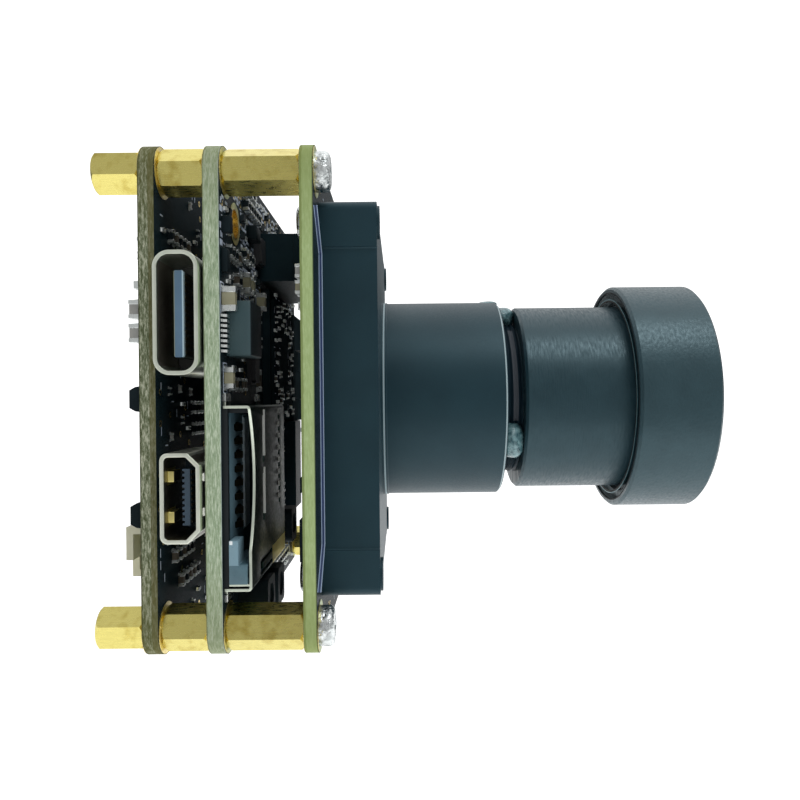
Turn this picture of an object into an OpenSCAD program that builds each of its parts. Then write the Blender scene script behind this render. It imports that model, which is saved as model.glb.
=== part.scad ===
// Board camera module: three stacked square boards on brass hex standoffs, with a
// threaded lens holder and a long lens with a wide front ring.
// +X runs along the optical axis towards the lens, +Z is up and -Y is the connector side.
// The origin lies on the optical axis, in the plane of the rear standoffs' free ends.

/* [Boards] */
// Side of each square board
board_size = 38; // [37.6:0.2:42]
// Radius of the boards' corners
board_corner_r = 2.2; // [1:0.1:2.6]
// Distance of the corner holes from the boards' edges
hole_inset = 2; // [1.9:0.05:2.2]
// Diameter of the clearance holes in the boards
board_hole_d = 2.4; // [2.3:0.05:2.5]
// Diameter of the plated ring round each corner hole
pad_d = 3.8; // [3.5:0.1:3.9]
// Diameter of the plated ring round each holder screw hole
inner_pad_d = 3.3; // [3:0.1:3.4]
// Height of the plating and solder above the board
pad_t = 0.05; // [0.03:0.01:0.1]
// Thickness of the rear board
rear_board_t = 1.2; // [1:0.1:1.6]
// Thickness of the main board
main_board_t = 1.2; // [1:0.1:1.6]
// Thickness of the sensor board
sensor_board_t = 1; // [0.8:0.1:1.6]

/* [Standoffs] */
// Free length behind the rear board
rear_gap = 3.6; // [3.4:0.1:6]
// Gap between the rear board and the main board
middle_gap = 3.5; // [3.5:0.1:6]
// Gap between the main board and the sensor board
front_gap = 5.8; // [5.6:0.1:9]
// Width across the flats of the hex standoffs
hex_af = 3; // [3:0.1:3.3]
// Bevel at the standoffs' ends
hex_bevel = 0.25; // [0.1:0.05:0.4]
// Core diameter of the M2 studs and screw shanks
stud_d = 1.6; // [1.5:0.01:1.62]
// Diameter of the tapped bores inside the stack
tapped_d = 1.7; // [1.66:0.01:1.72]
// Diameter of the bore in a rear standoff, which takes the user's M2 screw
mount_bore_d = 2.05; // [2.02:0.01:2.1]
// Depth of the tapped bore in a rear or middle standoff
tapped_depth = 2.6; // [2.2:0.1:2.8]
// Length of a stud beyond its board
stud_reach = 2; // [1.5:0.1:2.1]

/* [Screws] */
// Diameter of the pan heads
screw_head_d = 3; // [2.8:0.1:3.6]
// Height of the pan heads
screw_head_h = 1.1; // [0.8:0.1:1.4]
// Length of a board screw under its head
board_screw_len = 4; // [3:0.5:5]
// Diameter of the flat heads behind the sensor board
holder_head_d = 2.8; // [2.4:0.1:3]
// Height of the flat heads behind the sensor board
holder_head_h = 0.7; // [0.5:0.1:0.9]
// Length of a holder screw under its head
holder_screw_len = 4; // [2.5:0.5:4]
// Width of the arms of the cross recess
recess_w = 0.4; // [0.3:0.05:0.5]
// Depth of the cross recess
recess_depth = 0.4; // [0.2:0.05:0.5]

/* [Lens holder] */
// Gap between the square flange and the pan heads at its corners
flange_clear = 0.15; // [0.1:0.05:0.3]
// Distance of the holder's screws from the flange's edges
holder_inset = 1.45; // [1.4:0.05:1.6]
// Thickness of the flange
flange_t = 4.5; // [4.2:0.1:6]
// Depth of the shallow panel between two corner bosses of the flange
flange_relief = 0.2; // [0.1:0.05:0.3]
// Side of a corner boss of the flange
flange_boss = 3.6; // [3.2:0.1:4]
// Diameter of the raised discs at the flange's front corners
disc_d = 2.6; // [2.4:0.1:2.8]
// Height of the raised discs
disc_h = 0.2; // [0.1:0.05:0.3]
// Side of the square chamber over the image sensor
chamber_w = 22; // [20:0.5:23]
// Depth of that chamber
chamber_depth = 3; // [2.9:0.1:3.4]
// Radius of the light aperture between the chamber and the tube
aperture_r = 4.8; // [4:0.1:5.2]
// Diameter of the holder's tube
tube_d = 18.4; // [17.8:0.1:20]
// Length of the tube in front of the flange
tube_len = 11; // [10:0.5:14]
// Width of the small collar where the tube meets the flange
collar_len = 0.55; // [0.3:0.05:0.7]
// Height of that collar above the tube
collar_h = 0.06; // [0.04:0.01:0.2]

/* [Lens] */
// Diameter of the lens's threaded tail
tail_d = 14; // [13.6:0.1:14.4]
// Length of the threaded tail
tail_len = 10.2; // [9.6:0.2:12]
// Radial clearance between the tail and the holder's bore
thread_gap = 0.05; // [0.03:0.01:0.08]
// Open gap between the tube's mouth and the lens barrel
focus_gap = 1.6; // [1.2:0.1:2]
// Diameter of the lens barrel
barrel_d = 17.3; // [17.1:0.1:17.9]
// Length of barrel that shows behind the front ring
barrel_len = 9.3; // [8:0.1:14]
// Diameter of the front ring
ring_d = 21.1; // [20.6:0.1:24]
// Length of the front ring
ring_len = 7; // [6.8:0.1:9]
// Depth of the recess in the back of the front ring
ring_recess = 1.2; // [0.9:0.1:1.4]
// Thickness of the rim round that recess
ring_rim = 0.55; // [0.4:0.05:0.8]
// Bevel on the turned edges
edge_bevel = 0.22; // [0.1:0.02:0.3]
// Radius of the front glass
front_glass_r = 7.4; // [7:0.1:7.5]
// Radius of the inner glasses
inner_glass_r = 6.3; // [6:0.1:6.4]
// Radius of the rear glass
rear_glass_r = 5; // [4.6:0.1:5.2]
// Radial play round each glass
glass_play = 0.05; // [0.03:0.01:0.1]

/* [Image sensor] */
// Side of the image sensor's package
sensor_w = 14; // [13:0.5:15]
// Thickness of the package
sensor_t = 1.6; // [1.4:0.1:1.7]
// Side of the package's cover glass
cover_w = 11.2; // [10:0.2:11.2]
// Thickness of the cover glass
cover_t = 0.5; // [0.4:0.05:0.55]
// Side of the infrared filter
filter_w = 11; // [10.5:0.1:11.2]
// Thickness of the infrared filter
filter_t = 0.55; // [0.4:0.05:0.6]
// Width of the foam seal's walls
seal_wall = 1.2; // [1:0.1:1.4]

/* [USB receptacle] */
// Width of the shell
usb_w = 8.94; // [8.8:0.02:9.2]
// Height of the shell off the board
usb_h = 3.26; // [3.1:0.02:3.28]
// Length of the receptacle
usb_len = 7.35; // [6.5:0.05:8]
// Radius of the shell's corners
usb_corner_r = 1.2; // [1:0.05:1.4]
// Height of the receptacle's middle on the board
usb_z = 6.26; // [6:0.02:6.6]
// Width of the tongue
usb_tongue_w = 6.3; // [6.1:0.01:6.8]
// Thickness of the tongue
usb_tongue_t = 0.7; // [0.6:0.02:0.76]

/* [Video receptacle] */
// Width of the shell
video_w = 6.5; // [6.2:0.05:6.8]
// Height of the shell off the board
video_h = 2.88; // [2.8:0.02:3.1]
// Length of the receptacle
video_len = 7.5; // [6.5:0.1:8]
// Size of the slanted corners on the board side
video_slant = 0.9; // [0.8:0.05:1.3]
// Height of the receptacle's middle on the board
video_z = -7.04; // [-7.2:0.02:-6.7]
// Width of the tongue
video_tongue_w = 4.1; // [3.8:0.05:4.4]
// Thickness of the tongue
video_tongue_t = 0.55; // [0.5:0.05:0.65]

/* [Receptacles] */
// Thickness of both shells
shell_t = 0.3; // [0.25:0.01:0.35]
// How far both shells stand out of the boards' edge
shell_proud = 0.8; // [0.5:0.1:1.2]
// Space between both shells and the main board
shell_seat = 0.17; // [0.1:0.01:0.2]
// How far both tongues are set back from the mouths
tongue_set = 0.9; // [0.6:0.1:1.4]

/* [Card socket] */
// Width of the socket
card_w = 13.5; // [13.4:0.1:13.7]
// Length of the socket
card_len = 15.3; // [15:0.1:15.6]
// Height of the socket
card_h = 2.1; // [2:0.05:2.3]
// Height of the socket's upper side on the board
card_top_z = -0.45; // [-0.5:0.05:-0.2]
// Thickness of the steel cover
cover_sheet = 0.2; // [0.15:0.01:0.22]
// Outer radius of the cover's long folds
cover_bend = 0.28; // [0.25:0.01:0.3]
// Depth of the curved finger notch in the cover's front edge
finger_notch = 1.6; // [0.6:0.1:1.9]
// Thickness of the moulded floor
card_floor = 0.4; // [0.35:0.05:0.45]
// Spacing of the eight card contacts
card_contact_pitch = 1.06; // [1.04:0.01:1.12]
// Width of the ejector slider
slider_w = 1.4; // [1.3:0.05:1.45]
// Length of the ejector slider
slider_len = 6; // [5.6:0.1:6.2]
// Travel of the slider to the end of its push
slider_travel = 3.6; // [2:0.1:3.6]
// Play round the slider
slider_play = 0.1; // [0.08:0.01:0.12]
// Outer diameter of the slider's coil spring
spring_d = 0.9; // [0.7:0.05:0.95]
// Diameter of the spring's wire
spring_wire = 0.16; // [0.12:0.01:0.18]

/* [Board links] */
// Length of a board-to-board connector
link_len = 16; // [12:0.5:16]
// Width of a board-to-board connector
link_w = 4.4; // [4:0.1:4.6]

/* [Rear wafer] */
// Width of the wafer connector's housing
wafer_w = 4.2; // [4:0.1:4.6]
// Height of the housing off the rear board
wafer_h = 2.9; // [2.7:0.1:3.2]
// Depth of the housing
wafer_depth = 4.6; // [4:0.1:5]
// Wall of the housing
wafer_wall = 0.55; // [0.4:0.05:0.6]

/* [Hidden] */

round_fn = 96;
fine_fn = 48;
over = 0.5;

// Faces of the three boards along the optical axis
rear_x = rear_gap;
rear_front = rear_x + rear_board_t;
main_x = rear_front + middle_gap;
main_front = main_x + main_board_t;
sensor_x = main_front + front_gap;
sensor_front = sensor_x + sensor_board_t;
near_y = -board_size / 2;
board_pitch = board_size - 2 * hole_inset;
flange_w = board_pitch - screw_head_d - 2 * flange_clear;
holder_pitch = flange_w - 2 * holder_inset;

// Turns of the hexagons of the rear, middle and front standoffs: the upper two, then the lower two
hex_turns = [[17, -17], [47, -47], [35, -43]];

// Lens stations along the optical axis
flange_front = sensor_front + flange_t;
tube_front = flange_front + tube_len;
barrel_back = tube_front + focus_gap;
tail_back = barrel_back - tail_len;
ring_back = barrel_back + barrel_len;
ring_front = ring_back + ring_len;
chamber_front = sensor_front + chamber_depth;
tube_r = tube_d / 2;
tail_r = tail_d / 2;
barrel_r = barrel_d / 2;
ring_r = ring_d / 2;
tube_bore_r = tail_r + thread_gap;
chamber_web = 1.9;
bore_floor = chamber_front + chamber_web;
neck_step = 0.55;
neck_r = barrel_r - neck_step;
neck_len = 2.1;
shoulder_x = ring_back + ring_recess;
neck_front = shoulder_x + neck_len;
seat_set = 1.3;
front_seat_x = ring_back + seat_set;
front_glass_edge = 1.55;
front_dome_r = 14;
rear_dish_r = 20;
second_dish_r = 20;
third_dome_r = 16;
rear_dome_r = 13;
stop_set = 1.6;
stop_x = barrel_back - stop_set;
stop_t = 0.7;
stop_r = 3.4;
rear_bore_r = rear_glass_r + glass_play;
inner_bore_r = inner_glass_r + glass_play;
front_bore_r = front_glass_r + glass_play;
glass_gap = 0.02;
third_back = stop_x + stop_t + glass_gap;
third_t = 3;
second_t = 2.6;
middle_spacer_t = 1.6;
middle_spacer_back = third_back + third_t + glass_gap;
second_back = middle_spacer_back + middle_spacer_t + glass_gap;
front_spacer_back = second_back + second_t + glass_gap;
rear_glass_t = 2.6;
rear_retainer_t = 1.4;
rear_glass_back = tail_back + rear_retainer_t + glass_gap;
rear_spacer_back = rear_glass_back + rear_glass_t + glass_gap;
front_spacer_bore_r = 5.2;
middle_spacer_bore_r = 5.4;
rear_spacer_bore_r = 4.2;
retainer_bore_r = 3.9;

// Receptacles on the main board's rear face
usb_x = main_x - shell_seat - usb_h / 2;
video_x = main_x - shell_seat - video_h / 2;
mouth_y = near_y - shell_proud;
leg_t = 0.25;
leg_len = 1.1;
housing_len = 2.2;
housing_play = 0.02;
video_tongue_gap = 0.65;

// Card socket on the main board's front face
card_y = near_y + 0.2;
card_back = card_y + card_len;
card_low_z = card_top_z - card_w;
card_top = main_front + card_h;
cover_under = card_top - cover_sheet;
floor_top = main_front + card_floor;
sheet_play = 0.03;
side_wall = 0.3;
lane_outer_z = card_low_z + cover_sheet + sheet_play + 0.25;
lane_z = lane_outer_z + slider_play;
slider_proud = 0.3;
slider_y = card_y - slider_proud;
slider_low = floor_top + slider_play;
slider_top = cover_under - slider_play;
slider_back = slider_y + slider_len;
arm_h = 0.65;
arm_w = 1.75;
arm_len = 2;
groove_w = 0.6;
groove_depth = 0.4;
wire_d = 0.26;
wire_z = lane_z + slider_w / 2;
wire_x = cover_under - wire_d / 2 - 0.03;
wire_tip_y = slider_back - 1.2;
wire_pivot_y = card_back - 2.4;
rear_wall_t = 0.9;
spring_back = card_back - cover_sheet - sheet_play - rear_wall_t;
spring_x = slider_low + spring_d / 2 + 0.02;
first_contact_z = card_top_z - 1.64;
contact_w = 0.5;
window_y = card_y + 2.2;
window_len = 3;

// Places of the middles of parts on the boards, as [y, z]; a link's y is its near end
link_clear = 0.3;
link_at = [(holder_pitch - holder_head_d) / 2 - link_clear - link_len, 13.2];
rear_link_at = [1.5, 0];
processor_w = 12.5;
processor_at = [3.8, 4.2];
memory_size = [7.4, 12];
memory_at = [14.1, 3.6];
flat_socket_size = [4.2, 9.6];
flat_socket_at = [11.9, -7.2];
interface_at = [near_y + 3.4, 5.3];
interface_size = [4.2, 4.1];
interface_h = 2;

module along_x(x, len) {
    translate([x, 0, 0]) rotate([90, 0, 90]) linear_extrude(len) children();
}

module along_y(y, len) {
    translate([0, y + len, 0]) rotate([90, 0, 0]) linear_extrude(len) children();
}

module along_z(z, len) {
    translate([0, 0, z]) linear_extrude(len) children();
}

module about_axis(fn = round_fn) {
    rotate([0, 90, 0]) rotate_extrude($fn = fn) children();
}

module corners(pitch) {
    for (y = [-pitch / 2, pitch / 2], z = [-pitch / 2, pitch / 2]) translate([0, y, z]) children();
}

module rod(x, len, d, fn = fine_fn) {
    translate([x, 0, 0]) rotate([0, 90, 0]) cylinder(h = len, d = d, $fn = fn);
}

module rounded(w, h, r) {
    square([w - 2 * r, h], center = true);
    square([w, h - 2 * r], center = true);
    for (x = [-1, 1], y = [-1, 1])
        translate([x * (w / 2 - r), y * (h / 2 - r)]) circle(r, $fn = fine_fn);
}

// A block on a board: [y, z] is its middle, size is [width in y, width in z]
module block(x, h, at, size) {
    translate([x, at[0] - size[0] / 2, at[1] - size[1] / 2]) cube([h, size[0], size[1]]);
}

// A board with its corner holes and, at the places in inner, holes on the holder's pattern
module board(x, t, inner = []) {
    difference() {
        union() {
            along_x(x, t) rounded(board_size, board_size, board_corner_r);
            corners(board_pitch) rod(x - pad_t, t + 2 * pad_t, pad_d);
            for (at = inner) translate([0, at[0], at[1]]) rod(x - pad_t, t + 2 * pad_t, inner_pad_d);
        }
        corners(board_pitch) rod(x - over, t + 2 * over, board_hole_d);
        for (at = inner) translate([0, at[0], at[1]]) rod(x - over, t + 2 * over, board_hole_d);
    }
}

holder_half = holder_pitch / 2;
upper_holes = [[-holder_half, holder_half], [holder_half, holder_half]];
holder_holes = concat(upper_holes, [[-holder_half, -holder_half], [holder_half, -holder_half]]);

module rear_board() {
    color([0.1, 0.14, 0.13]) difference() {
        board(rear_x, rear_board_t);
        for (i = [0, 1]) translate([rear_x - over, wafer_y + 1, wafer_peg_z(i)])
            rotate([0, 90, 0]) cylinder(h = rear_board_t + 2 * over, d = peg_d + 0.1, $fn = fine_fn);
    }
}

module main_board() {
    color([0.1, 0.14, 0.13]) board(main_x, main_board_t, upper_holes);
}

module sensor_board() {
    color([0.1, 0.16, 0.2]) difference() {
        board(sensor_x, sensor_board_t, holder_holes);
        along_x(sensor_front, over) square(flange_w + 0.4, center = true);
    }
}

// The four places of a row of standoffs, each child turned about its own axis
module posts(turns) {
    for (row = [0, 1], y = [-board_pitch / 2, board_pitch / 2])
        translate([0, y, (0.5 - row) * board_pitch]) rotate([turns[row], 0, 0]) children();
}

module hex_post(x, len) {
    corner_r = hex_af / 2 / cos(30);
    intersection() {
        translate([x, 0, 0]) rotate([0, 90, 0]) rotate([0, 0, 30]) cylinder(h = len, r = corner_r, $fn = 6);
        about_axis(fine_fn) polygon([[0, x], [corner_r - hex_bevel, x], [corner_r, x + hex_bevel],
            [corner_r, x + len - hex_bevel], [corner_r - hex_bevel, x + len], [0, x + len]]);
    }
}

module stud_post(x, len, board_t, bore_d) {
    difference() {
        union() {
            hex_post(x, len);
            rod(x + len - over, over + board_t + 2 * pad_t + stud_reach, stud_d);
        }
        rod(x - over, over + tapped_depth, bore_d);
    }
}

module rear_standoffs() {
    color([0.72, 0.6, 0.25]) posts(hex_turns[0])
        stud_post(0, rear_x - pad_t, rear_board_t, mount_bore_d);
}

module middle_standoffs() {
    color([0.72, 0.6, 0.25]) posts(hex_turns[1])
        stud_post(rear_front + pad_t, middle_gap - 2 * pad_t, main_board_t, tapped_d);
}

module front_standoffs() {
    color([0.72, 0.6, 0.25]) posts(hex_turns[2]) difference() {
        hex_post(main_front + pad_t, front_gap - 2 * pad_t);
        rod(main_front, front_gap, tapped_d);
    }
}

// Two crossed slots that taper inwards, cut into a head whose outer face is at x
module cross_recess(x, depth, towards) {
    for (turn = [0, 90]) rotate([turn, 0, 0]) translate([x, 0, 0]) mirror([towards < 0 ? 1 : 0, 0, 0])
        along_y(-recess_w / 2, recess_w)
            polygon([[over, -0.9], [over, 0.9], [0, 0.8], [-depth, 0.35], [-depth, -0.35], [0, -0.8]]);
}

module board_screws() {
    seat = sensor_front + pad_t;
    head_r = screw_head_d / 2;
    dome_r = 0.45;
    color([0.78, 0.78, 0.78]) corners(board_pitch) difference() {
        union() {
            about_axis(fine_fn) union() {
                translate([0, seat]) square([head_r, screw_head_h - dome_r]);
                translate([0, seat]) square([head_r - dome_r, screw_head_h]);
                translate([head_r - dome_r, seat + screw_head_h - dome_r]) circle(dome_r, $fn = fine_fn);
            }
            rod(seat - board_screw_len, board_screw_len + over, stud_d);
        }
        cross_recess(seat + screw_head_h, recess_depth, 1);
    }
}

module holder_screws() {
    seat = sensor_x - pad_t;
    head_r = holder_head_d / 2;
    bevel = 0.2;
    color([0.78, 0.78, 0.78]) corners(holder_pitch) difference() {
        union() {
            about_axis(fine_fn) polygon([[0, seat - holder_head_h], [head_r - bevel, seat - holder_head_h],
                [head_r, seat - holder_head_h + bevel], [head_r, seat], [0, seat]]);
            rod(seat - over, holder_screw_len + over, stud_d);
        }
        cross_recess(seat - holder_head_h, recess_depth, -1);
    }
}

module lens_holder() {
    panel = flange_w - 2 * flange_boss;
    color([0.11, 0.16, 0.19]) difference() {
        union() {
            difference() {
                along_x(sensor_front, flange_t) rounded(flange_w, flange_w, 0.7);
                for (turn = [0, 90, 180, 270]) rotate([turn, 0, 0])
                    along_x(sensor_front - over, flange_t + 2 * over)
                        translate([0, flange_w / 2]) rounded(panel, 2 * flange_relief, flange_relief - 0.001);
            }
            corners(holder_pitch) rod(flange_front - over, over + disc_h, disc_d);
            about_axis() polygon([[0, flange_front - over], [tube_r + collar_h, flange_front - over],
                [tube_r + collar_h, flange_front + collar_len - collar_h],
                [tube_r, flange_front + collar_len],
                [tube_r, tube_front - edge_bevel], [tube_r - edge_bevel, tube_front], [0, tube_front]]);
        }
        along_x(sensor_front - over, chamber_depth + over) rounded(chamber_w, chamber_w, 1.5);
        about_axis() polygon([[0, bore_floor], [tube_bore_r, bore_floor],
            [tube_bore_r, tube_front - edge_bevel], [tube_bore_r + edge_bevel, tube_front],
            [tube_bore_r + edge_bevel, tube_front + over], [0, tube_front + over]]);
        rod(sensor_front, flange_t + over, 2 * aperture_r, round_fn);
        corners(holder_pitch) rod(sensor_front - over, holder_screw_len + over - 0.4, tapped_d);
    }
}

module lens_barrel() {
    color([0.13, 0.18, 0.21]) difference() {
        about_axis() polygon([[0, tail_back], [tail_r - 0.4, tail_back], [tail_r, tail_back + 0.4],
            [tail_r, barrel_back], [barrel_r - edge_bevel, barrel_back], [barrel_r, barrel_back + edge_bevel],
            [barrel_r, shoulder_x], [neck_r, shoulder_x], [neck_r, neck_front], [0, neck_front]]);
        rod(tail_back - over, stop_x - tail_back + over, 2 * rear_bore_r, round_fn);
        rod(stop_x - over, stop_t + 2 * over, 2 * stop_r, round_fn);
        rod(stop_x + stop_t, neck_front - stop_x, 2 * inner_bore_r, round_fn);
        rod(front_seat_x, neck_front, 2 * front_bore_r, round_fn);
    }
}

// The hood inside the ring falls in even steps, as turned glare grooves do
hood_steps = 5;
hood_front_r = ring_r - 0.9;
lip_r = front_glass_r - 0.55;
lip_back = front_seat_x + front_glass_edge + 0.35;
lip_t = 0.6;
hood_back = lip_back + lip_t;
step_len = (ring_front - 0.5 - hood_back) / hood_steps;
step_r = (hood_front_r - lip_r - 0.3) / hood_steps;

function hood_points() = [for (i = [0:hood_steps - 1], end = [0, 1])
    [lip_r + 0.3 + (i + end * 0.35) * step_r, hood_back + (i + end) * step_len]];

module front_ring() {
    rim_r = ring_r - ring_rim;
    step_face = shoulder_x - 0.5;
    color([0.12, 0.16, 0.18]) about_axis() difference() {
        polygon(concat([[neck_r + 0.03, shoulder_x + 0.02], [barrel_r + 0.5, shoulder_x + 0.02],
            [barrel_r + 0.5, step_face], [rim_r - 0.25, step_face], [rim_r, ring_back + 0.25],
            [rim_r, ring_back], [ring_r - edge_bevel, ring_back], [ring_r, ring_back + edge_bevel],
            [ring_r, ring_front - edge_bevel], [ring_r - edge_bevel, ring_front],
            [hood_front_r + 0.1, ring_front], [hood_front_r, ring_front - 0.4]],
            [for (i = [2 * hood_steps - 1:-1:0]) hood_points()[i]],
            [[lip_r, hood_back], [lip_r, lip_back], [front_bore_r, lip_back],
            [front_bore_r, neck_front + 0.02], [neck_r + 0.03, neck_front + 0.02]]));
    }
}

arc_steps = 10;

// How far a spherical surface of this radius falls back at distance y from the axis
function sag(curve, y) = curve == 0 ? 0 : sign(curve) * (abs(curve) - sqrt(pow(curve, 2) - pow(y, 2)));

// A glass turned from two arcs: its rim is a cylinder, and a curve of 0 is flat.
// A front curve above 0 bulges and a rear curve above 0 is hollow, both from their vertices.
module glass(back, front, r, front_curve, rear_curve) {
    color([0.75, 0.85, 0.9, 0.35]) about_axis() polygon(concat(
        [for (i = [0:arc_steps]) let (y = r * i / arc_steps) [y, front - sag(front_curve, y)]],
        [for (i = [arc_steps:-1:0]) let (y = r * i / arc_steps) [y, back - sag(rear_curve, y)]]));
}

module front_glass() {
    back = front_seat_x + glass_gap;
    glass(back + sag(rear_dish_r, front_glass_r), back + front_glass_edge + sag(front_dome_r, front_glass_r),
        front_glass_r, front_dome_r, rear_dish_r);
}

module second_glass() {
    glass(second_back + sag(second_dish_r, inner_glass_r), second_back + second_t - 0.8, inner_glass_r,
        -second_dish_r * 1.5, second_dish_r);
}

module third_glass() {
    glass(third_back, third_back + third_t, inner_glass_r, third_dome_r, 0);
}

module rear_glass() {
    glass(rear_glass_back, rear_glass_back + rear_glass_t, rear_glass_r, rear_dome_r, 0);
}

module spacer(back, front, outer_r, inner_r) {
    color([0.08, 0.08, 0.09]) about_axis() translate([inner_r, back])
        square([outer_r - inner_r, front - back]);
}

module front_spacer() {
    spacer(front_spacer_back, front_seat_x, inner_glass_r, front_spacer_bore_r);
}

module middle_spacer() {
    spacer(middle_spacer_back, middle_spacer_back + middle_spacer_t, inner_glass_r, middle_spacer_bore_r);
}

module rear_spacer() {
    spacer(rear_spacer_back, stop_x - glass_gap, rear_glass_r, rear_spacer_bore_r);
}

module rear_retainer() {
    spacer(tail_back, tail_back + rear_retainer_t, rear_glass_r, retainer_bore_r);
}

// Two beads of glue lock the lens: one low on the near side and one on top
bead_turns = [32, -84];
bead_r = 1.55;
bead_sink = 0.1;

module glue_bead() {
    color([0.2, 0.35, 0.38]) intersection() {
        for (turn = bead_turns) rotate([turn, 0, 0])
            translate([tube_front + focus_gap / 2, -tail_r - bead_sink, 0]) sphere(bead_r, $fn = fine_fn);
        about_axis() polygon([[tail_r + 0.01, tube_front + 0.01], [tail_r + 2, tube_front + 0.01],
            [tail_r + 2, barrel_back - 0.01], [tail_r + 0.01, barrel_back - 0.01]]);
    }
}

module image_sensor() {
    color([0.2, 0.2, 0.22]) difference() {
        along_x(sensor_front, sensor_t) rounded(sensor_w, sensor_w, 0.3);
        along_x(sensor_front + sensor_t - 0.5, 1) square(cover_w - 1.4, center = true);
    }
}

module sensor_cover() {
    color([0.7, 0.8, 0.85, 0.35]) along_x(sensor_front + sensor_t, cover_t) square(cover_w, center = true);
}

module infrared_filter() {
    color([0.6, 0.75, 0.8, 0.35]) along_x(chamber_front - filter_t, filter_t) square(filter_w, center = true);
}

module foam_seal() {
    inner_w = cover_w + 0.4;
    seal_back = sensor_front + sensor_t;
    color([0.06, 0.06, 0.06]) along_x(seal_back, chamber_front - seal_back) difference() {
        square(inner_w + 2 * seal_wall, center = true);
        square(inner_w, center = true);
    }
}

module usb_outline(inset) {
    rounded(usb_h - 2 * inset, usb_w - 2 * inset, usb_corner_r - inset);
}

// Legs of a shell: bent from its flanks to the board, where they are soldered
module shell_legs(x, w) {
    for (y = [mouth_y + 1.6, mouth_y + 5.2], side = [-1, 1])
        translate([x, y, side * (w / 2 - shell_t - leg_t / 2) - leg_t / 2])
            cube([main_x - x, leg_len, leg_t]);
}

module usb_shell() {
    color([0.8, 0.8, 0.77]) translate([0, 0, usb_z]) union() {
        along_y(mouth_y, usb_len) difference() {
            translate([usb_x, 0]) usb_outline(0);
            translate([usb_x, 0]) usb_outline(shell_t);
        }
        shell_legs(usb_x + usb_h / 2 - shell_t / 2, usb_w - 0.7);
    }
}

module usb_tongue() {
    color([0.4, 0.47, 0.52]) translate([usb_x, 0, usb_z]) union() {
        along_y(mouth_y + tongue_set, usb_len - tongue_set) rounded(usb_tongue_t, usb_tongue_w, 0.12);
        along_y(mouth_y + usb_len - housing_len, housing_len) usb_outline(shell_t + housing_play);
    }
}

module usb_contacts() {
    pitch = 0.5;
    strip = [0.06, 3.6, 0.26];
    strip_set = 0.35;
    color([0.75, 0.65, 0.35]) translate([usb_x, mouth_y + tongue_set + strip_set, usb_z])
        for (i = [-5.5:5.5], side = [0, 1]) mirror([side, 0, 0])
            translate([usb_tongue_t / 2, 0, i * pitch - strip[2] / 2]) cube(strip);
}

// The video shell's outline: slanted towards the board, rounded on the other side
module video_outline(inset) {
    w = video_w / 2 - inset;
    h = video_h / 2 - inset;
    s = video_slant - inset * (2 - sqrt(2));
    r = 0.55 - inset * 0.8;
    union() {
        polygon([[-h + r, -w], [h - s, -w], [h, -w + s], [h, w - s], [h - s, w], [-h + r, w]]);
        translate([-h, -w + r]) square([r + 0.01, 2 * (w - r)]);
        for (side = [-1, 1]) translate([-h + r, side * (w - r)]) circle(r, $fn = fine_fn);
    }
}

module video_shell() {
    finger = [shell_t / 2 + 0.45, 1.8, 0.8];
    finger_z = 1.48;
    color([0.8, 0.8, 0.77]) translate([0, 0, video_z]) union() {
        along_y(mouth_y, video_len) difference() {
            translate([video_x, 0]) video_outline(0);
            translate([video_x, 0]) video_outline(shell_t);
        }
        shell_legs(video_x + video_h / 2 - shell_t / 2, video_w - 1.4);
        for (side = [-1, 1])
            translate([video_x - video_h / 2 + shell_t / 2, mouth_y + 1, side * finger_z - finger[2] / 2])
                cube(finger);
    }
}

module video_tongue() {
    tongue_x = video_h / 2 - shell_t - video_tongue_gap - video_tongue_t / 2;
    notch = 0.16;
    pitch = 0.4;
    color([0.4, 0.47, 0.52]) translate([video_x, 0, video_z]) union() {
        along_y(mouth_y + tongue_set, video_len - tongue_set) difference() {
            translate([tongue_x, 0]) square([video_tongue_t, video_tongue_w], center = true);
            for (i = [-4.5:4.5]) translate([tongue_x - video_tongue_t / 2, i * pitch])
                square([2 * notch, pitch / 2], center = true);
        }
        along_y(mouth_y + video_len - housing_len, housing_len) video_outline(shell_t + housing_play);
    }
}

module video_contacts() {
    pitch = 0.4;
    strip = [0.06, 3.6, 0.2];
    strip_set = 0.3;
    strip_x = video_x + video_h / 2 - shell_t - video_tongue_gap;
    color([0.75, 0.65, 0.35]) translate([strip_x, mouth_y + tongue_set + strip_set, video_z])
        for (i = [-4.5:4.5]) translate([0, 0, i * pitch - strip[2] / 2]) cube(strip);
}

module card_contact_at(i) {
    translate([0, 0, first_contact_z - i * card_contact_pitch]) children();
}

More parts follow.
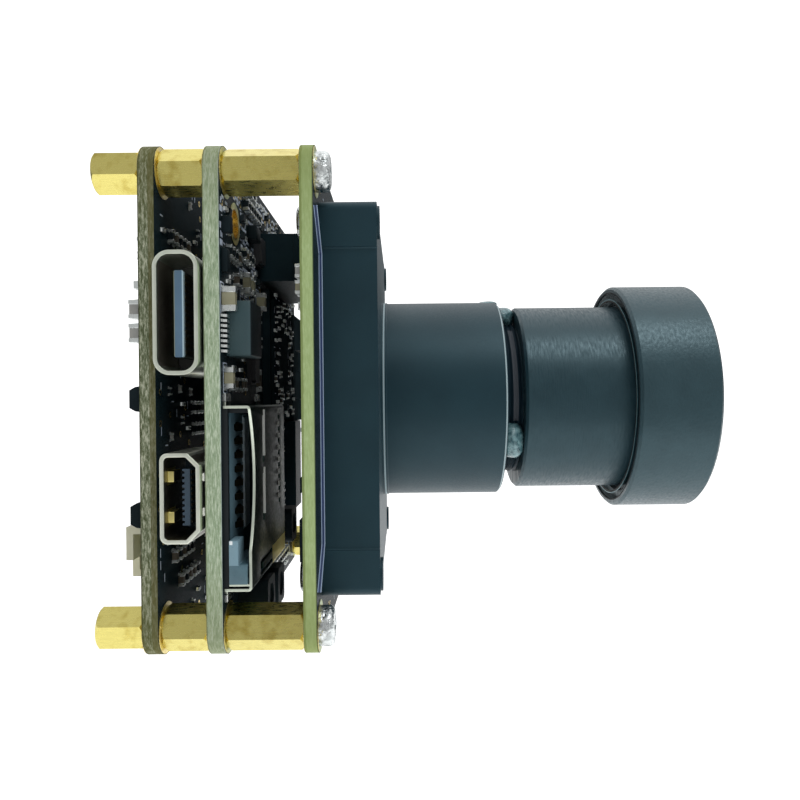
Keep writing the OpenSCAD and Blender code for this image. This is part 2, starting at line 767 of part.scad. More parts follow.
// The moulded base: floor, side walls and rear wall, with windows for the contacts
module card_base() {
    inner_top_z = card_top_z - cover_sheet - sheet_play;
    inner_low_z = card_low_z + cover_sheet + sheet_play;
    back = card_back - cover_sheet - sheet_play;
    wall_h = cover_under - sheet_play - main_front;
    guide_w = 0.5;
    guide_z = first_contact_z - 7 * card_contact_pitch - 0.7 - guide_w;
    color([0.07, 0.08, 0.09]) difference() {
        union() {
            translate([main_front, card_y + 0.1, inner_low_z])
                cube([card_floor, back - card_y - 0.1, inner_top_z - inner_low_z]);
            translate([main_front, card_y + 0.4, inner_top_z - side_wall])
                cube([wall_h, back - card_y - 0.4, side_wall]);
            translate([main_front, card_y + 0.4, inner_low_z])
                cube([wall_h, back - card_y - 0.4, lane_outer_z - inner_low_z]);
            translate([main_front, back - rear_wall_t, inner_low_z])
                cube([wall_h, rear_wall_t, inner_top_z - inner_low_z]);
            translate([main_front, window_y + window_len, first_contact_z - 7 * card_contact_pitch - 0.6])
                cube([card_floor + 0.15, 1.9, 7 * card_contact_pitch + 1.3]);
            translate([main_front, slider_back + slider_travel + 0.2, guide_z])
                cube([card_floor + 0.7, back - slider_back - slider_travel - 0.4, guide_w]);
        }
        for (i = [0:7]) card_contact_at(i) {
            along_x(main_front - over, card_floor + 2 * over) polygon([
                [window_y, -0.2], [window_y + 0.9, -0.38], [window_y + window_len, -0.38],
                [window_y + window_len, 0.38], [window_y + 0.9, 0.38], [window_y, 0.2]]);
            translate([main_front - over, window_y + window_len - 0.1, -contact_w / 2 - 0.04])
                cube([over + 0.16, card_len, contact_w + 0.08]);
        }
        translate([wire_x, wire_pivot_y, wire_z]) rotate([0, -90, 0])
            cylinder(h = 3, d = wire_d + 0.04, $fn = 32);
    }
}

// The cover's folded section, an open box whose mouth is on the board
module cover_outline(inset) {
    reach = 2 * card_h;
    translate([card_top - reach / 2, card_top_z - card_w / 2])
        rounded(reach - 2 * inset, card_w - 2 * inset, cover_bend - inset);
}

// The folded steel cover: roof with finger notch, slits, a leaf over the lane, a hem inside its
// lower wall, and walls with soldered feet
module card_cover() {
    wall_x = main_front + 0.1;
    notch_r = 9;
    notch_z = card_top_z - 0.4 * card_w;
    slit = [cover_sheet + over, 0.5, 3.75];
    slit_y = 4.6;
    slit_ends = [4.55, 9.1];
    dash = [cover_sheet + over, 0.75, 0.4];
    dash_set = 3.4;
    dash_rise = 0.55;
    foot = 0.7;
    hem_t = 0.15;
    hem_len = 0.35;
    hem_rise = 0.38;
    leaf_cut = [5.2, 1.2];
    leaf_set = [1.1, 0.3];
    leaf_w = 0.55;
    cut_x = cover_under - over / 5;
    color([0.7, 0.68, 0.64]) difference() {
        union() {
            along_y(card_y, card_len) intersection() {
                difference() {
                    cover_outline(0);
                    cover_outline(cover_sheet);
                }
                translate([wall_x, card_low_z]) square([card_h, card_w]);
            }
            translate([wall_x + 0.5, card_back - cover_sheet, card_low_z + cover_bend])
                cube([cover_under + over / 5 - wall_x - 0.5, cover_sheet, card_w - 2 * cover_bend]);
            translate([floor_top + sheet_play, card_y, card_low_z + hem_rise])
                cube([cover_under + over / 5 - floor_top - sheet_play, hem_len, hem_t]);
            for (y = [card_y + 0.5, card_back - 3]) {
                translate([main_front, y, card_top_z - cover_sheet]) cube([cover_sheet, 1.6, foot]);
                translate([main_front, y, card_low_z + cover_sheet - foot]) cube([cover_sheet, 1.6, foot]);
            }
        }
        translate([cut_x, card_y + finger_notch - notch_r, notch_z]) rotate([0, 90, 0])
            cylinder(h = cover_sheet + over, r = notch_r, $fn = round_fn);
        for (end = slit_ends) translate([cut_x, card_y + slit_y, card_top_z - end]) cube(slit);
        for (i = [0:7]) card_contact_at(i)
            translate([cut_x, card_back - dash_set, dash_rise - dash[2] / 2]) cube(dash);
        translate([0, card_y + 3.3, card_low_z + 0.36]) along_x(cut_x, cover_sheet + over) difference() {
            square(leaf_cut);
            translate(leaf_set) square([leaf_cut[0], leaf_w]);
        }
    }
}

module card_contacts() {
    strip = 0.1;
    tail_end = card_back + 0.7;
    crest = floor_top + 0.45;
    bend_y = window_y + window_len - 0.1;
    tip_y = window_y + 1;
    color([0.75, 0.65, 0.35]) for (i = [0:7]) card_contact_at(i)
        translate([0, 0, -contact_w / 2]) along_z(0, contact_w) polygon([[main_front, tail_end],
            [main_front, bend_y], [crest - strip, tip_y], [floor_top - 0.1, tip_y - 0.5],
            [floor_top + strip - 0.1, tip_y - 0.58], [crest, tip_y - 0.05],
            [main_front + strip, bend_y + 0.05], [main_front + strip, tail_end]]);
}

// The ejector: a runner with a cam groove, and a thin arm that meets the card's corner
module card_slider() {
    spigot_d = spring_d - 2 * spring_wire - 0.14;
    color([0.43, 0.51, 0.56]) union() {
        difference() {
            translate([slider_low, slider_y, lane_z]) cube([slider_top - slider_low, slider_len, slider_w]);
            translate([slider_top - groove_depth, slider_y + 0.35, wire_z - groove_w / 2])
                cube([groove_depth + over, slider_len, groove_w]);
        }
        translate([slider_low, slider_y, lane_z + slider_w - 0.01]) cube([arm_h, arm_len, arm_w]);
        translate([spring_x, slider_back - over, wire_z]) rotate([-90, 0, 0])
            cylinder(h = over + 1, d = spigot_d, $fn = 32);
    }
}

// The coil spring: a closed tube swept along a helix whose ends lie flat
spring_turns = 9;
spring_rings = 12;
spring_sides = 6;
spring_len = spring_back - slider_back - 0.04;
coil_r = (spring_d - spring_wire) / 2;

function spring_point(i) =
    let (turn = i / spring_rings, rise = turn / spring_turns)
    [spring_x + coil_r * cos(360 * turn), slider_back + 0.02 + spring_wire / 2 +
        rise * (spring_len - spring_wire), wire_z + coil_r * sin(360 * turn)];

function spring_ring(i) =
    let (turn = i / spring_rings, out = [cos(360 * turn), 0, sin(360 * turn)])
    [for (k = [0:spring_sides - 1]) spring_point(i) + spring_wire / 2 *
        (cos(360 * k / spring_sides) * out + [0, sin(360 * k / spring_sides), 0])];

module card_spring() {
    last = spring_turns * spring_rings;
    n = spring_sides;
    points = [for (i = [0:last]) each spring_ring(i)];
    walls = [for (i = [0:last - 1], k = [0:n - 1])
        each [[i * n + k, i * n + (k + 1) % n, (i + 1) * n + k],
        [i * n + (k + 1) % n, (i + 1) * n + (k + 1) % n, (i + 1) * n + k]]];
    ends = [[for (k = [n - 1:-1:0]) k], [for (k = [0:n - 1]) last * n + k]];
    color([0.7, 0.7, 0.7]) polyhedron(points, concat(walls, ends), convexity = 10);
}

// The cam wire: its pivot is held in the base and its tip rides in the slider's groove
module card_cam_wire() {
    color([0.72, 0.72, 0.72]) union() {
        translate([wire_x, wire_tip_y, wire_z]) rotate([-90, 0, 0])
            cylinder(h = wire_pivot_y - wire_tip_y, d = wire_d, $fn = 32);
        for (y = [wire_tip_y, wire_pivot_y]) translate([wire_x, y, wire_z]) sphere(d = wire_d, $fn = 32);
    }
}

link_rib_w = 1.2;
link_play = 0.05;

// One half of a board link: a long housing with a slot down its middle
module slotted_link(x, h, at, slot_depth) {
    difference() {
        block(x, h, [at[0] + link_len / 2, at[1]], [link_len, link_w]);
        block(x + h - slot_depth, slot_depth + over, [at[0] + link_len / 2, at[1]],
            [link_len - 1.2, link_rib_w + 2 * link_play + 1]);
    }
}

// The other half: a housing of the same outline with a rib that enters the slot
module ribbed_link(x, h, at, rib) {
    union() {
        block(x - h, h, [at[0] + link_len / 2, at[1]], [link_len, link_w]);
        block(x - h - rib, rib + over, [at[0] + link_len / 2, at[1]], [link_len - 1.4, link_rib_w]);
    }
}

link_share = 0.55;
link_seam = 0.02;

module link_socket() {
    color([0.06, 0.06, 0.07]) slotted_link(main_front, front_gap * link_share, link_at, 1.6);
}

module link_plug() {
    color([0.06, 0.06, 0.07])
        ribbed_link(sensor_x, front_gap * (1 - link_share) - link_seam, link_at, 1.4);
}

module rear_link_socket() {
    color([0.06, 0.06, 0.07]) slotted_link(rear_front, middle_gap * link_share, rear_link_at, 1.2);
}

module rear_link_plug() {
    color([0.06, 0.06, 0.07])
        ribbed_link(main_x, middle_gap * (1 - link_share) - link_seam, rear_link_at, 1);
}

substrate_t = 0.7;
lid_t = 0.35;
lid_sink = 0.1;
lid_w = processor_w - 1.6;
memory_h = 1;

module processor() {
    color([0.12, 0.12, 0.13]) union() {
        block(main_front, substrate_t, processor_at, [processor_w, processor_w]);
        block(main_front + substrate_t - lid_sink, lid_t + lid_sink, processor_at, [lid_w, lid_w]);
    }
}

module memory_chip() {
    color([0.1, 0.1, 0.11]) block(main_front, memory_h, memory_at, memory_size);
}

module interface_chip() {
    w = interface_size[0] / 2;
    h = interface_h;
    foot_play = 0.1;
    bevel = 0.15;
    color([0.2, 0.25, 0.28]) translate([main_front, interface_at[0], 0])
        along_z(interface_at[1] - interface_size[1] / 2, interface_size[1])
            polygon([[foot_play, -w], [h - bevel, -w], [h, bevel - w], [h, w - bevel], [h - bevel, w],
                [foot_play, w]]);
}

// Bent leads on the two long sides of the interface chip
module chip_leads() {
    lead_w = 0.2;
    lead_t = 0.14;
    pitch = 0.37;
    rise = 0.4;
    lead_drop = -0.46;
    edge = interface_size[0] / 2 + 0.01;
    color([0.82, 0.82, 0.82]) translate([main_front, interface_at[0], interface_at[1] + lead_drop])
        for (i = [-3.5:3.5], side = [0, 1]) mirror([0, side, 0])
            along_z(i * pitch - lead_w / 2, lead_w) polygon([[rise, -edge], [rise, -edge - 0.8],
                [lead_t, -edge - 0.95], [lead_t, -edge - 1.15], [0, -edge - 1.15], [0, -edge - 0.85],
                [rise - lead_t, -edge - 0.7], [rise - lead_t, -edge]]);
}

flat_socket_h = 1.3;
flat_slot = [0.4, 3.4, 8];
flat_slot_x = main_front + 0.45;

// A flat cable enters it from the far side, under the top wall
module flat_cable_socket() {
    color([0.08, 0.08, 0.08]) difference() {
        block(main_front, flat_socket_h, flat_socket_at, flat_socket_size);
        translate([flat_slot_x, flat_socket_at[0] + flat_socket_size[0] / 2 - flat_slot[1],
            flat_socket_at[1] - flat_slot[2] / 2]) cube(flat_slot + [0, over, 0]);
    }
}

// Shielded coils beside the card socket, as [distance from the near edge, z]
coil_spots = [[6.5, -15.9], [11.4, -16.1], [19.6, -12.2]];
coil_size = 3.2;
coil_h = 2.4;
coil_corner_r = 0.5;
coil_dish_r = 1.05;
coil_dish_h = 0.4;

module power_coils() {
    color([0.15, 0.15, 0.16]) for (at = coil_spots)
        translate([main_front, near_y + at[0], at[1]]) difference() {
            along_x(0, coil_h) rounded(coil_size, coil_size, coil_corner_r);
            translate([coil_h, 0, 0]) rotate([0, 90, 0])
                cylinder(h = coil_dish_h, r = coil_dish_r, center = true, $fn = fine_fn);
        }
}

crystal_spots = [[10.4, 2.6], [13.9, 13.4]];
crystal_size = [2.1, 2.6];
crystal_h = 0.7;
crystal_step = 0.3;

module crystals() {
    color([0.75, 0.75, 0.72]) for (at = crystal_spots) translate([main_front, near_y + at[0], at[1]]) {
        along_x(0, crystal_h / 2) square(crystal_size, center = true);
        along_x(crystal_h / 2, crystal_h / 2)
            rounded(crystal_size[0] - crystal_step, crystal_size[1] - crystal_step, crystal_step);
    }
}

// A chip part: a body with a metal cap over each end, drawn slightly proud
module chip_part(x, h, at, size, towards = 1) {
    cap = 0.25;
    base = towards > 0 ? x : x - h;
    along = size[0] > size[1];
    block(base, h, at, size);
    for (side = [-1, 1])
        block(towards > 0 ? x : x - h - 0.02, h + 0.02,
            at + (along ? [side * (size[0] / 2 - cap / 2), 0] : [0, side * (size[1] / 2 - cap / 2)]),
            along ? [cap, size[1] + 0.04] : [size[0] + 0.04, cap]);
}

// Larger chip capacitors, as [distance from the near edge, z, width in y, width in z, height]
main_caps = [[0.75, 7.38, 0.7, 1.8, 1.05], [7.4, 9.6, 0.8, 1.6, 0.8], [9.1, 9.6, 0.8, 1.6, 0.8],
    [1.4, 1.6, 0.8, 1.6, 0.7], [14.1, 8.9, 0.8, 1.6, 0.8]];

module main_capacitors() {
    color([0.6, 0.57, 0.48]) for (c = main_caps)
        chip_part(main_front, c[4], [near_y + c[0], c[1]], [c[2], c[3]]);
}

// Rows of small chip parts, as [distance of the first from the near edge, its z, two steps, how many]
main_rows = [[2.4, 11.2, 1.05, 0, 4], [7.6, 12, 1.05, 0, 4], [9.8, 6.6, 0, -0.95, 2],
    [11.6, 7.4, 1.1, 0, 3], [2.9, 1.2, 1.05, 0, 5], [8.6, 16.4, 1.1, 0, 6],
    [7.2, 17.8, 1.1, 0, 5], [12.8, 5.2, 1.1, 0, 2], [4.7, 9.4, 1.1, 0, 2], [13.4, 1.2, 0, 1, 2],
    [9, -18.3, 1.1, 0, 6], [17, -4.4, 1.1, 0, 5], [17, -6, 1.1, 0, 5], [17, -7.6, 1.1, 0, 5],
    [23.2, -9.4, 1.1, 0, 4], [23.2, -11, 1.1, 0, 4], [23.2, -12.6, 1.1, 0, 4], [21, -16.6, 1.1, 0, 8]];
small_size = [0.5, 1];
small_h = 0.45;

module part_rows(x, rows, towards) {
    for (r = rows, i = [0:r[4] - 1])
        chip_part(x, small_h, [near_y + r[0] + i * r[2], r[1] + i * r[3]], small_size, towards);
}

module main_small_parts() {
    color([0.35, 0.33, 0.3]) part_rows(main_front, main_rows, 1);
}

// Small chips on the main board, as [distance from the near edge, z, width in y, width in z, height]
main_blocks = [[0.9, 12.86, 0.8, 1.2, 0.73], [0.85, 10.2, 0.9, 1.7, 0.5], [10.9, 14.37, 2, 1.2, 0.8]];

module main_chips() {
    color([0.11, 0.12, 0.13]) for (c = main_blocks)
        block(main_front, c[4], [near_y + c[0], c[1]], [c[2], c[3]]);
}

// Chips behind the sensor board, as [distance from the near edge, z, width in y, width in z, height]
sensor_blocks = [[2.8, 4.7, 3, 2.2, 0.6], [2.4, 1, 2.6, 2, 0.5], [2, -6.4, 1.6, 1.1, 0.3],
    [1.7, -10.5, 1.3, 3.1, 0.35], [11, 3, 4, 4, 0.8], [11, -5, 3, 3, 0.8]];

module sensor_chips() {
    color([0.13, 0.13, 0.14]) for (c = sensor_blocks)
        block(sensor_x - c[4], c[4], [near_y + c[0], c[1]], [c[2], c[3]]);
}

sensor_rows = [[0.9, 9.4, 0, -1.2, 2], [2.1, 9.4, 0, -1.2, 2], [3.8, 7.4, 1.1, 0, 4],
    [6.4, -1.6, 1.1, 0, 5], [3.6, -3.8, 1.1, 0, 4], [7.4, -12, 1.1, 0, 6]];

module sensor_small_parts() {
    color([0.6, 0.57, 0.48]) part_rows(sensor_x, sensor_rows, -1);
}

rear_rows = [[3.4, 12.6, 1.1, 0, 5], [9.6, 9.6, 1.1, 0, 3], [9.2, -0.6, 1.1, 0, 4],
    [9.4, -2.4, 1.1, 0, 4], [3.6, -12, 1.1, 0, 5], [5.2, -14.2, 1.1, 0, 5]];

module rear_small_parts() {
    color([0.5, 0.5, 0.48]) part_rows(rear_front, rear_rows, 1);
}

// Capacitors that stand behind the rear board near its connector edge
rear_caps = [[1.1, 8.5, 0.6, 0.6, 0.6], [1.2, 6.7, 1.1, 1.4, 0.95], [1.2, 4.95, 1.1, 1.4, 0.95],
    [6, 12, 1.2, 2, 1], [8, 12, 1.2, 2, 1], [28, -14.6, 1.2, 2, 1]];

module rear_capacitors() {
    color([0.55, 0.55, 0.53]) for (c = rear_caps)
        chip_part(rear_x, c[4], [near_y + c[0], c[1]], [c[2], c[3]], -1);
}

// How far a moulded body's flank slopes out at the board
slope = 0.05;

// Moulded diodes with sloping flanks, as [distance from the near edge, z]
rear_diode_spots = [[1.8, 0.1], [1.8, -8.4]];

module rear_diodes() {
    h = 0.9;
    waist = 0.9;
    top = 0.65;
    len = 2.6;
    color([0.12, 0.12, 0.12]) for (at = rear_diode_spots)
        translate([rear_x, near_y + at[0] - len / 2, at[1]]) along_y(0, len)
            polygon([[0, -waist - slope], [0, waist + slope], [-h / 2, waist], [-h, top], [-h, -top],
                [-h / 2, -waist]]);
}

wafer_set = 5;
wafer_y = near_y + wafer_set;
wafer_top_z = -10;
peg_d = 0.6;
function wafer_peg_z(i) = wafer_top_z - wafer_w / 2 + (i - 0.5) * (wafer_w - 1.2);

// The side-entry wafer: an open box whose mouth faces the connector side, stepped in front
module wafer_housing() {
    step_h = wafer_h * 0.5;
    step_w = wafer_w * 0.38;
    color([0.8, 0.79, 0.66]) difference() {
        union() {
            translate([rear_x - wafer_h, wafer_y, wafer_top_z - wafer_w])
                cube([wafer_h, wafer_depth, wafer_w]);
            for (i = [0, 1]) translate([rear_x - over, wafer_y + 1, wafer_peg_z(i)]) rotate([0, 90, 0])
                cylinder(h = over + rear_board_t * 0.6, d = peg_d, $fn = fine_fn);
        }
        translate([rear_x - wafer_h + wafer_wall, wafer_y - over, wafer_top_z - wafer_w + wafer_wall])
            cube([wafer_h - 2 * wafer_wall, wafer_depth - 1 + over, wafer_w - 2 * wafer_wall]);
        translate([rear_x - wafer_h - over, wafer_y - over, wafer_top_z - wafer_w - over])
            cube([over + wafer_h - step_h, over + 1.4, over + step_w]);
        for (i = [-1, 1]) translate([rear_x - wafer_h / 2, wafer_y + wafer_depth - 1 - over,
            wafer_top_z - wafer_w / 2 + i * 0.625]) rotate([-90, 0, 0]) cylinder(h = 2, d = 0.55, $fn = 32);
    }
}

// Two pins that cross the housing's back wall and bend down to the board
module wafer_pins() {
    pin_d = 0.5;
    color([0.8, 0.8, 0.78]) for (i = [-1, 1])
        translate([rear_x - wafer_h / 2, wafer_y + 1, wafer_top_z - wafer_w / 2 + i * 0.625]) union() {
            rotate([-90, 0, 0]) cylinder(h = wafer_depth - 0.4, d = pin_d, $fn = 32);
            translate([0, wafer_depth - 0.65, 0]) rotate([0, 90, 0])
                cylinder(h = wafer_h / 2, d = pin_d, $fn = 32);
        }
}

rear_board();
main_board();
sensor_board();
rear_standoffs();
middle_standoffs();
front_standoffs();
board_screws();
holder_screws();
lens_holder();
lens_barrel();
front_ring();
front_glass();
second_glass();
third_glass();
rear_glass();
front_spacer();
middle_spacer();
rear_spacer();
rear_retainer();
glue_bead();
image_sensor();
sensor_cover();
infrared_filter();
foam_seal();
usb_shell();
usb_tongue();
usb_contacts();
video_shell();
video_tongue();
video_contacts();
card_base();
card_cover();
card_contacts();
card_slider();
card_spring();
card_cam_wire();
link_socket();
link_plug();
rear_link_socket();
rear_link_plug();
processor();
memory_chip();
interface_chip();
chip_leads();
flat_cable_socket();
power_coils();
crystals();
main_capacitors();
main_small_parts();
main_chips();
sensor_chips();
sensor_small_parts();
rear_small_parts();
rear_capacitors();
rear_diodes();
wafer_housing();
wafer_pins();
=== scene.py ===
"""A board camera module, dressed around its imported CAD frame.

Lengths are metres in the row's frame: +X runs along the optical axis towards the lens, +Z is up
and -Y is the connector side. Sizes are written in millimetres and turned to metres by MM.
"""

import itertools
import logging
import math
from dataclasses import dataclass, field
from enum import Enum
from typing import Any, Sequence

import bmesh
import bpy
import numpy as np
from mathutils import Matrix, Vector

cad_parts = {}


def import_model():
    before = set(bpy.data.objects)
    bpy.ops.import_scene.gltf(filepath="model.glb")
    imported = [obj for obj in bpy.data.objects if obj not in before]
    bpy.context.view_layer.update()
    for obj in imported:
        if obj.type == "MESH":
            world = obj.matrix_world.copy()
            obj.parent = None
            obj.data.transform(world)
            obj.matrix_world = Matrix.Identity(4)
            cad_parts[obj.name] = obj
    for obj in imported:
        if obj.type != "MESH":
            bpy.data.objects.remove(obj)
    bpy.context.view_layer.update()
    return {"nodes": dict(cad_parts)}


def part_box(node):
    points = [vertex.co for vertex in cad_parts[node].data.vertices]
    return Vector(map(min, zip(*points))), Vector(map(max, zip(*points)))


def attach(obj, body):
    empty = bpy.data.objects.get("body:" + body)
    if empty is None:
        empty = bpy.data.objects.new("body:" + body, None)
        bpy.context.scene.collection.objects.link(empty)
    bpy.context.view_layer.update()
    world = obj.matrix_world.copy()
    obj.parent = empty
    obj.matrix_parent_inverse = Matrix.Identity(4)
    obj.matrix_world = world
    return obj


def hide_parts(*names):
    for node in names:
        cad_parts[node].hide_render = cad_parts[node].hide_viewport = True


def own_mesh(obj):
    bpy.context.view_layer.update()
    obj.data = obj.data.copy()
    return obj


MM = 0.001
BODY = "module"
Tree = bpy.types.NodeTree
Socket = bpy.types.NodeSocket
Node = bpy.types.Node
Piece = bpy.types.Object
Array = np.ndarray
Nodes = dict[str, Piece]
Colour = tuple[float, float, float, float]
Span = tuple[str, float, float]
Triple = tuple[float, float, float]
WHITE: Colour = (1.0, 1.0, 1.0, 1.0)
PLATING = 0.05  # millimetres that the rings round the holes stand proud of a board's faces
SEAM = 2e-7  # metres: points of one sheet that lie nearer than this are one point
log = logging.getLogger("camera_module")


def linear(code: str) -> Colour:
    """Turns an sRGB hex code such as "#1a2b3c" into a linear colour with alpha 1."""
    values = np.array([int(code[i : i + 2], 16) for i in (1, 3, 5)]) / 255.0
    low = values / 12.92
    high = ((values + 0.055) / 1.055) ** 2.4
    return (*np.where(values <= 0.04045, low, high).tolist(), 1.0)


def per(size_mm: float) -> float:
    """Texture scale at which one cell of a pattern on Object coordinates is size_mm wide."""
    return 1.0 / (size_mm * MM)


def add(tree: Tree, kind: str, links: dict[Any, Any] | None = None, **settings: Any) -> Node:
    """Adds a node to a tree.

    Args:
        tree: The tree that gets the node.
        kind: The node's type name, without its ShaderNode prefix.
        links: Socket name or number to a value, or to the output socket that feeds it.
        settings: Properties of the node; stops gives a colour ramp's (place, hex) pairs.

    Returns:
        The new node.
    """
    node = tree.nodes.new("ShaderNode" + kind)
    stops = settings.pop("stops", ())
    for place, code in stops:
        node.color_ramp.elements.new(place).color = linear(code)
    if stops:
        node.color_ramp.elements.remove(node.color_ramp.elements[0])
        node.color_ramp.elements.remove(node.color_ramp.elements[len(stops)])
    for name, value in settings.items():
        setattr(node, name, value)
    for socket, value in (links or {}).items():
        if isinstance(value, Socket):
            tree.links.new(value, node.inputs[socket])
        else:
            node.inputs[socket].default_value = value
    return node


def calc(tree: Tree, kind: str, *values: Any) -> Socket:
    """Works out one step of arithmetic on numbers or sockets."""
    return add(tree, "Math", dict(enumerate(values)), operation=kind).outputs[0]


def noise(tree: Tree, place: Socket, scale: float, detail: float) -> Socket:
    """Fractal noise at a place, mostly between 0.3 and 0.7."""
    return add(tree, "TexNoise", {"Vector": place, "Scale": scale, "Detail": detail}).outputs["Fac"]


def remap(tree: Tree, value: Socket, *ends: float, kind: str = "LINEAR") -> Socket:
    """Maps a value from ends[0] and ends[1] to 0 and 1, or to ends[2] and ends[3] where given."""
    links = {0: value, **dict(enumerate(ends, start=1))}
    return add(tree, "MapRange", links, interpolation_type=kind).outputs[0]


def ramp(tree: Tree, value: Socket, stops: Sequence[tuple[float, str]]) -> Socket:
    """Turns a value into a colour by a list of (value, hex colour)."""
    return add(tree, "ValToRGB", {0: value}, stops=stops).outputs[0]


def stretched(tree: Tree, place: Socket, scale: tuple[float, ...]) -> Socket:
    """A place multiplied by scale along each axis."""
    return add(tree, "Mapping", {"Vector": place, "Scale": scale}).outputs[0]


def emboss(tree: Tree, shader: Node, height: Socket, depth_mm: float) -> None:
    """Gives a shader a relief of height, which is from 0 to 1, times depth_mm."""
    bump = add(tree, "Bump", {"Height": height, "Distance": depth_mm * MM, "Strength": 1.0})
    tree.links.new(bump.outputs[0], shader.inputs["Normal"])


def mix(tree: Tree, share: Any, low: Any, high: Any) -> Socket:
    """Mixes two colours by share: low at 0, high at 1."""
    return add(tree, "Mix", {0: share, 6: low, 7: high}, data_type="RGBA").outputs[2]


def band(tree: Tree, value: Socket, low: float, high: float) -> Socket:
    """1 where value lies between low and high, and 0 elsewhere."""
    over = calc(tree, "GREATER_THAN", value, low)
    under = calc(tree, "LESS_THAN", value, high)
    return calc(tree, "MULTIPLY", over, under)


def hang(name: str, data: Any) -> Piece:
    """Makes an object of some data and puts it in the scene."""
    made = bpy.data.objects.new(name, data)
    bpy.context.scene.collection.objects.link(made)
    return made


@dataclass(frozen=True)
class Zone:
    """A part of a piece whose surface was left another colour, told by where it lies.

    spans are (axis, low, high) in millimetres; a span on "nx", "ny" or "nz" reads the surface's
    direction instead, from -1 to 1.
    """

    colour: str
    spans: tuple[Span, ...]

    def share(self, tree: Tree) -> Socket:
        """1 inside all the spans, and 0 outside."""
        source = add(tree, "TexCoord")
        place = add(tree, "SeparateXYZ", {0: source.outputs["Object"]})
        way = add(tree, "SeparateXYZ", {0: source.outputs["Normal"]})
        share: Any = 1.0
        for axis, low, high in self.spans:
            turned = axis.startswith("n")
            value = (way if turned else place).outputs[axis[-1].upper()]
            unit = 1.0 if turned else MM
            share = calc(tree, "MULTIPLY", share, band(tree, value, low * unit, high * unit))
        return share


@dataclass(frozen=True)
class Finish:
    """One real material with the way its surface was made.

    Fractal noise with cells grain_mm wide, stretched along X, Y and Z by stretch, moves the
    roughness by spread and the surface by relief_mm. The colour drifts to shade in patches
    shade_mm wide, where a slower noise passes shade_from. Zones are coloured last.
    """

    name: str
    colour: str
    roughness: float
    metallic: float = 0.0
    ior: float = 1.5
    tint: str = "#ffffff"
    grain_mm: float = 0.1
    stretch: Triple = (1.0, 1.0, 1.0)
    spread: float = 0.08
    relief_mm: float = 0.004
    shade: str = ""
    shade_mm: float = 2.0
    shade_from: float = 0.35
    coat: float = 0.0
    zones: tuple[Zone, ...] = ()

    def material(self) -> bpy.types.Material:
        """Builds the material, or returns it if it was built before."""
        if self.name in bpy.data.materials:
            return bpy.data.materials[self.name]
        made = bpy.data.materials.new(self.name)
        made.use_nodes = True
        tree = made.node_tree
        tree.nodes.clear()
        shader = add(tree, "BsdfPrincipled", {"Roughness": self.roughness, "Metallic": self.metallic})
        if not self.metallic:
            shader.inputs["IOR"].default_value = self.ior
            shader.inputs["Specular Tint"].default_value = linear(self.tint)
        shader.inputs["Coat Weight"].default_value = self.coat
        self.dress(tree, add(tree, "TexCoord").outputs["Object"], shader)
        out = add(tree, "OutputMaterial")
        tree.links.new(shader.outputs[0], out.inputs["Surface"])
        return made

    def grain(self, tree: Tree, place: Socket) -> Socket:
        """Fractal noise whose cells are grain_mm wide, stretched along each axis by stretch."""
        scaled = stretched(tree, place, tuple(1.0 / s for s in self.stretch))
        return noise(tree, scaled, per(self.grain_mm), 3.0)

    def colouring(self, tree: Tree, place: Socket) -> Socket:
        """Slow change between the finish's colour and its shade, then the zones."""
        slow = noise(tree, place, per(self.shade_mm), 4.0)
        stops = ((self.shade_from, self.colour), (self.shade_from + 0.35, self.shade or self.colour))
        colour = ramp(tree, slow, stops)
        for zone in self.zones:
            colour = mix(tree, zone.share(tree), colour, linear(zone.colour))
        return colour

    def dress(self, tree: Tree, place: Socket, shader: Node) -> None:
        """Links colour, roughness and relief into the shader."""
        grain = self.grain(tree, place)
        tree.links.new(self.colouring(tree, place), shader.inputs["Base Color"])
        low, high = max(self.roughness - self.spread, 0.02), self.roughness + self.spread
        tree.links.new(remap(tree, grain, 0.3, 0.7, low, high), shader.inputs["Roughness"])
        emboss(tree, shader, grain, self.relief_mm)


@dataclass(frozen=True)
class Turned(Finish):
    """A surface turned on a lathe: fine marks run round the optical axis.

    The noise is read at x over mark_mm and at the angle round the axis, so each mark is
    mark_len_mm long. The angle's seam lies at +Y, behind the part. Real marks are 0.02 mm apart;
    they are drawn coarser to show.
    """

    mark_mm: float = 0.1
    mark_len_mm: float = 2.4
    radius_mm: float = 9.0

    def grain(self, tree: Tree, place: Socket) -> Socket:
        """Noise on the unrolled surface."""
        xyz = add(tree, "SeparateXYZ", {0: place})
        far = calc(tree, "MULTIPLY", xyz.outputs["Y"], -1.0)
        angle = calc(tree, "ARCTAN2", xyz.outputs["Z"], far)
        around = calc(tree, "MULTIPLY", angle, self.radius_mm / self.mark_len_mm)
        along = calc(tree, "MULTIPLY", xyz.outputs["X"], per(self.mark_mm))
        flat = add(tree, "CombineXYZ", {0: along, 1: around}).outputs[0]
        return noise(tree, flat, 1.0, 2.0)


